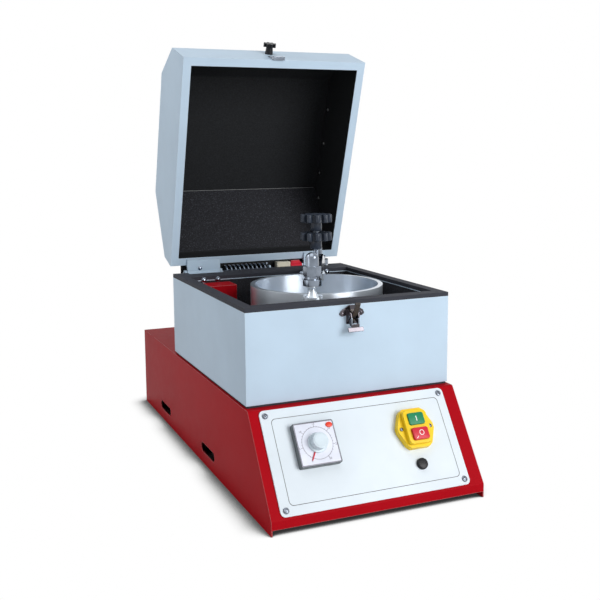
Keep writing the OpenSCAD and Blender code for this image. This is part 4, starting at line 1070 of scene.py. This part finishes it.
@dataclass
class Clamp:
    """The bowl clamp's threaded spindle and its two lobed knobs."""

    axis: Point2 = (24 * MM, -92.5 * MM)
    low_knob: float = 400 * MM
    high_knob: float = 434 * MM
    hub: Point2 = (10.5 * MM, 16 * MM)
    star: float = 60 * MM
    thick: float = 15 * MM
    rim: float = 1.6 * MM
    lobes: int = 10
    lobe_share: float = 0.075
    bore: float = 5.55 * MM
    over: float = 5 * MM
    thread: Point2 = (342 * MM, 463 * MM)
    thread_r: float = 5.5 * MM
    ridge: float = 2 * MM

    def build(self) -> None:
        """Builds the clamp's pieces."""
        self.knob("lock_star", "lock_knob", "lock_knob", self.low_knob)
        self.knob("turn_star", "spindle", "turn_knob", self.high_knob)
        self.spindle()

    def outline(self) -> list[Point2]:
        """Draws the knob's broad lobes with the narrow gaps between them.

        Returns:
            The outline's points in order.
        """
        lobe = self.star * self.lobe_share
        inner, far = self.star / 2 - 2 * lobe, self.star / 2 - lobe
        side = math.asin(lobe / inner)
        points: list[Point2] = []
        for i in range(self.lobes):
            at = FULL_TURN * i / self.lobes
            local = [(inner * math.cos(side), -lobe)]
            local += [(far + lobe * math.cos(math.radians(a)), lobe * math.sin(math.radians(a)))
                      for a in range(-90, 91, 15)]
            local.append((inner * math.cos(side), lobe))
            points += [(x * math.cos(at) - y * math.sin(at), x * math.sin(at) + y * math.cos(at))
                       for x, y in local]
            middle = at + math.pi / self.lobes
            points.append((inner * math.cos(middle), inner * math.sin(middle)))
        return points

    def knob(self, name: str, body: str, node: str, low: float) -> None:
        """Builds one knob: a rounded star on its hub.

        Args:
            name: The piece's name.
            body: The body it rides on.
            node: The solid it stands for.
            low: The height of the hub's lower end.
        """
        r, hub = self.hub
        star = Shape.prism(self.outline(), hub, hub + self.thick)
        rim = [e for e in star.edges if abs(e.verts[0].co.z - e.verts[1].co.z) < TINY]
        Shape.soften(star, rim, self.rim)
        under, above = hub - self.over, hub + self.thick + self.over
        mesh = Shape.cut(star, Shape.revolve([(0, under), (self.bore, under),
                                              (self.bore, above), (0, above)], 40))
        neck = Shape.revolve([(self.bore, 0), (r - 0.8 * MM, 0), (r, 0.8 * MM), (r, hub - 3 * MM),
                              (r - 0.1 * MM, hub + 1 * MM), (self.bore, hub + 1 * MM)], 56)
        Shape.add(mesh, neck)
        Piece(name, body, KNOB_BLACK, "black_plastic", (node,), sharp=50).make(
            mesh, move(*self.axis, low))

    def spindle(self) -> None:
        """Builds the spindle with the ridges of its thread."""
        low, high = self.thread
        r = self.thread_r
        profile: list[Point2] = [(0, low), (r - 0.6 * MM, low)]
        z = low + self.ridge / 2
        while z < high - self.ridge:
            profile += [(r - 0.55 * MM, z), (r, z + 0.8 * MM), (r, z + 1.2 * MM)]
            z += self.ridge
        profile += [(r - 0.6 * MM, high), (0, high)]
        Piece("threaded_spindle", "spindle", BRIGHT, "bright_metal", ("clamp_spindle",)).make(
            Shape.revolve(profile, 40), move(*self.axis, 0))


@dataclass
class Latch:
    """The draw latch's bright lever frame, open in its middle for the claw."""

    front: float = -287 * MM
    top: float = 328 * MM
    bar: Point3 = (2.3 * MM, 15 * MM, 1 * MM)
    bar_place: Point3 = (6.3 * MM, 14.3 * MM, 28.5 * MM)
    back: Point3 = (11 * MM, 20 * MM, 0.5 * MM)
    back_out: float = 1.55 * MM
    back_down: float = 19 * MM

    def build(self) -> None:
        """Builds the frame's two bars and the dark plate behind the claw."""
        mesh = bmesh.new()
        right, out, down = self.bar_place
        for s in (-1, 1):
            width, height, thick = self.bar
            bar = Shape.prism(Shape.rectangle(width, height), 0, thick, 0.35 * MM)
            place = move(s * right, self.front - out, self.top - down)
            Shape.add(mesh, bar, place @ turn(90, "X"))
        Piece("lever_frame", "latch_lever", BRIGHT, "bright_metal").make(mesh)
        width, height, thick = self.back
        back = Shape.prism(Shape.rectangle(width, height), 0, thick, 0.2 * MM)
        place = move(0, self.front - self.back_out, self.top - self.back_down)
        Piece("latch_back", "base", SMOKED, "bright_metal").make(back, place @ turn(90, "X"))


@dataclass
class Hinge:
    """The hood's hinge line, with its smooth balance spring."""

    y: float = 161 * MM
    z: float = 329 * MM
    start: float = -79 * MM
    length: float = 104 * MM
    turns: int = 11
    coil: float = 13 * MM
    wire: float = 2 * MM
    steps: int = 36

    def build(self) -> None:
        """Winds the spring."""
        pitch = self.length / self.turns
        path = []
        for i in range(int((self.turns - 0.5) * self.steps) + 1):
            a = FULL_TURN * i / self.steps
            path.append(Vector((self.start + self.wire + 0.2 * MM + pitch * i / self.steps,
                                self.y + self.coil * math.sin(a),
                                self.z - self.coil * math.cos(a))))
        Piece("balance_spring", "base", WIRE, "spring_steel", ("hinge_spring",)).make(
            Shape.tube(path, self.wire, 12))


@dataclass
class Hood:
    """The hood's inside: the speckled pad on its slope and the seam above it."""

    hinge: Hinge
    opened: float = 72.0
    fold: Point2 = (30.4 * MM, 479.3 * MM)
    along: Point2 = (0.732, -0.681)
    pad: Point2 = (365 * MM, 138 * MM)
    pad_down: float = 73 * MM
    pad_low: float = -0.4 * MM
    pad_high: float = 0.9 * MM
    seam_down: float = 3.6 * MM
    seam_up: float = 0.6 * MM
    seam_half: int = 178
    stitch: int = 4
    thread: float = 0.55 * MM

    def pose(self) -> Matrix:
        """Returns the turn from the closed hood to the open one."""
        y, z = self.hinge.y, self.hinge.z
        return move(0, y, z) @ turn(-self.opened, "X") @ move(0, -y, -z)

    def build(self) -> None:
        """Builds the pad and the seam."""
        u = Vector((0, *self.along))
        n = Vector((0, self.along[1], -self.along[0]))
        first = Vector((0, *self.fold))
        frame = Matrix((Vector((1, 0, 0)), u, n)).transposed().to_4x4()
        place = self.pose() @ Matrix.Translation(first + u * self.pad_down) @ frame
        pad = Shape.prism(Shape.rounded(Shape.rectangle(*self.pad), 2 * MM),
                          self.pad_low, self.pad_high, 0.4 * MM)
        Piece("slope_pad", "hood", FOAM, "black_foam").make(pad, place)
        seam = first + u * self.seam_down + n * self.seam_up
        path = [seam + Vector((x * MM, 0, 0))
                for x in range(-self.seam_half, self.seam_half + 1, self.stitch)]
        for i, p in enumerate(path):
            p.z += 0.25 * MM * math.sin(i * 0.9)
        Piece("seam_thread", "hood", THREAD, "black_foam").make(
            Shape.tube(path, self.thread, 8), self.pose())


@dataclass
class Studio:
    """The plain pale floor, the lamps, the white surround and the camera."""

    position: Point3 = (-0.6523, -1.5795, 0.5908)
    yaw: float = 22.57
    pitch: float = -7.73
    roll: float = -0.5
    lens: float = 52.5
    sensor: float = 36
    shift: Point2 = (0.0205, -0.0581)
    floor_half: float = 30
    shadow_reach: float = 0.06
    shadow_toward: Point3 = (0.12, -0.7, 0.7)
    shadow_samples: int = 24
    aim: Point3 = (0, -0.1, 0.3)
    fill: tuple[float, float, float, float] = (0.93, 0.96, 1.0, 1)
    fill_strength: float = 0.22

    def build(self) -> None:
        """Builds all of the studio."""
        self.floor()
        self.world()
        self.lamps()
        self.camera()

    def floor(self) -> None:
        """Lays the floor, which shows near white to the camera with a painted shadow from ambient
        occlusion, and plain diffuse to all else.
        """
        mesh = bmesh.new()
        bmesh.ops.create_grid(mesh, x_segments=2, y_segments=2, size=self.floor_half)
        data = bpy.data.meshes.new("floor")
        mesh.to_mesh(data)
        mesh.free()
        floor = bpy.data.objects.new("floor", data)
        bpy.context.collection.objects.link(floor)
        sheet = NodeSheet("floor_white")
        diffuse = sheet.add("BsdfDiffuse", Color=(0.8, 0.8, 0.8, 1))
        # Painted shadow: ambient occlusion, tilted toward the front, darkens the camera's white
        # floor near the object.
        near = sheet.add("AmbientOcclusion", Distance=self.shadow_reach)
        near.samples = self.shadow_samples
        toward = sheet.add("CombineXYZ", **dict(zip("XYZ", self.shadow_toward)))
        sheet.join(toward.outputs["Vector"], near.inputs["Normal"])
        white = sheet.add("Emission", Strength=1.0)
        painted_shadow_greys = [(at, (grey,) * 3)
                 for at, grey in ((0.46, 0.03), (0.6, 0.16), (0.76, 0.8), (0.9, 1.0))]
        sheet.join(sheet.ramp(near.outputs["AO"], painted_shadow_greys), white.inputs["Color"])
        sheet.mix(diffuse, white, sheet.output)
        data.materials.append(sheet.material)

    def world(self) -> None:
        """Makes the surround: white to the camera, and a softer fill on the object."""
        world = bpy.data.worlds.new("surround")
        bpy.context.scene.world = world
        world.use_nodes = True
        sheet = Sheet(world.node_tree)
        back = sheet.tree.nodes["Background"]
        back.inputs["Color"].default_value = self.fill
        back.inputs["Strength"].default_value = self.fill_strength
        white = sheet.add("Background", Color=(1, 1, 1, 1), Strength=1.0)
        sheet.mix(back, white, sheet.tree.nodes["World Output"])

    def lamp(self, name: str, place: Point3, power: float, size: float) -> None:
        """Hangs one square lamp that faces the object.

        Args:
            name: The lamp's name.
            place: Where it hangs.
            power: Its power in watts.
            size: The length of its side.
        """
        data = bpy.data.lights.new(name, "AREA")
        data.energy = power
        data.size = size
        lamp = bpy.data.objects.new(name, data)
        lamp.location = place
        ahead = Vector(self.aim) - Vector(place)
        lamp.rotation_euler = ahead.to_track_quat("-Z", "Y").to_euler()
        bpy.context.collection.objects.link(lamp)

    def lamps(self) -> None:
        """Hangs the lamps."""
        self.lamp("front_lamp", (1.1, -2.6, 1.2), 64, 1.6)
        self.lamp("top_lamp", (-0.3, -0.5, 2.6), 14, 1.8)
        self.lamp("left_lamp", (-1.9, 0.2, 1.7), 4, 1.2)
        self.lamp("hood_lamp", (-0.9, 0.35, 1.15), 2.2, 0.4)
        self.lamp("low_lamp", (-1.2, -0.3, 0.06), 1.4, 0.6)

    def camera(self) -> None:
        """Sets the camera where the photograph was taken."""
        yaw, pitch, roll = (math.radians(a) for a in (self.yaw, self.pitch, self.roll))
        ahead = Vector((math.sin(yaw) * math.cos(pitch), math.cos(yaw) * math.cos(pitch),
                        math.sin(pitch)))
        right = Vector((math.cos(yaw), -math.sin(yaw), 0))
        up = right.cross(ahead)
        side = right * math.cos(roll) + up * math.sin(roll)
        head = -right * math.sin(roll) + up * math.cos(roll)
        data = bpy.data.cameras.new("camera")
        data.lens = self.lens
        data.sensor_width = self.sensor
        data.shift_x, data.shift_y = self.shift
        data.clip_start = 0.05
        camera = bpy.data.objects.new("camera", data)
        facing = Matrix((side, head, -ahead)).transposed().to_4x4()
        camera.matrix_world = Matrix.Translation(self.position) @ facing
        bpy.context.collection.objects.link(camera)
        bpy.context.scene.camera = camera


def main() -> None:
    """Dresses the frame and builds every sub-assembly's pieces."""
    logging.basicConfig(level=logging.INFO, format="%(message)s")
    bpy.context.scene.view_settings.view_transform = "Standard"
    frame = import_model()
    Dresser().build(frame["nodes"])
    FrontPanel(Slope()).build()
    Clamp().build()
    Latch().build()
    hinge = Hinge()
    hinge.build()
    Hood(hinge).build()
    Studio().build()
    bpy.context.view_layer.update()


if __name__ == "__main__":
    main()
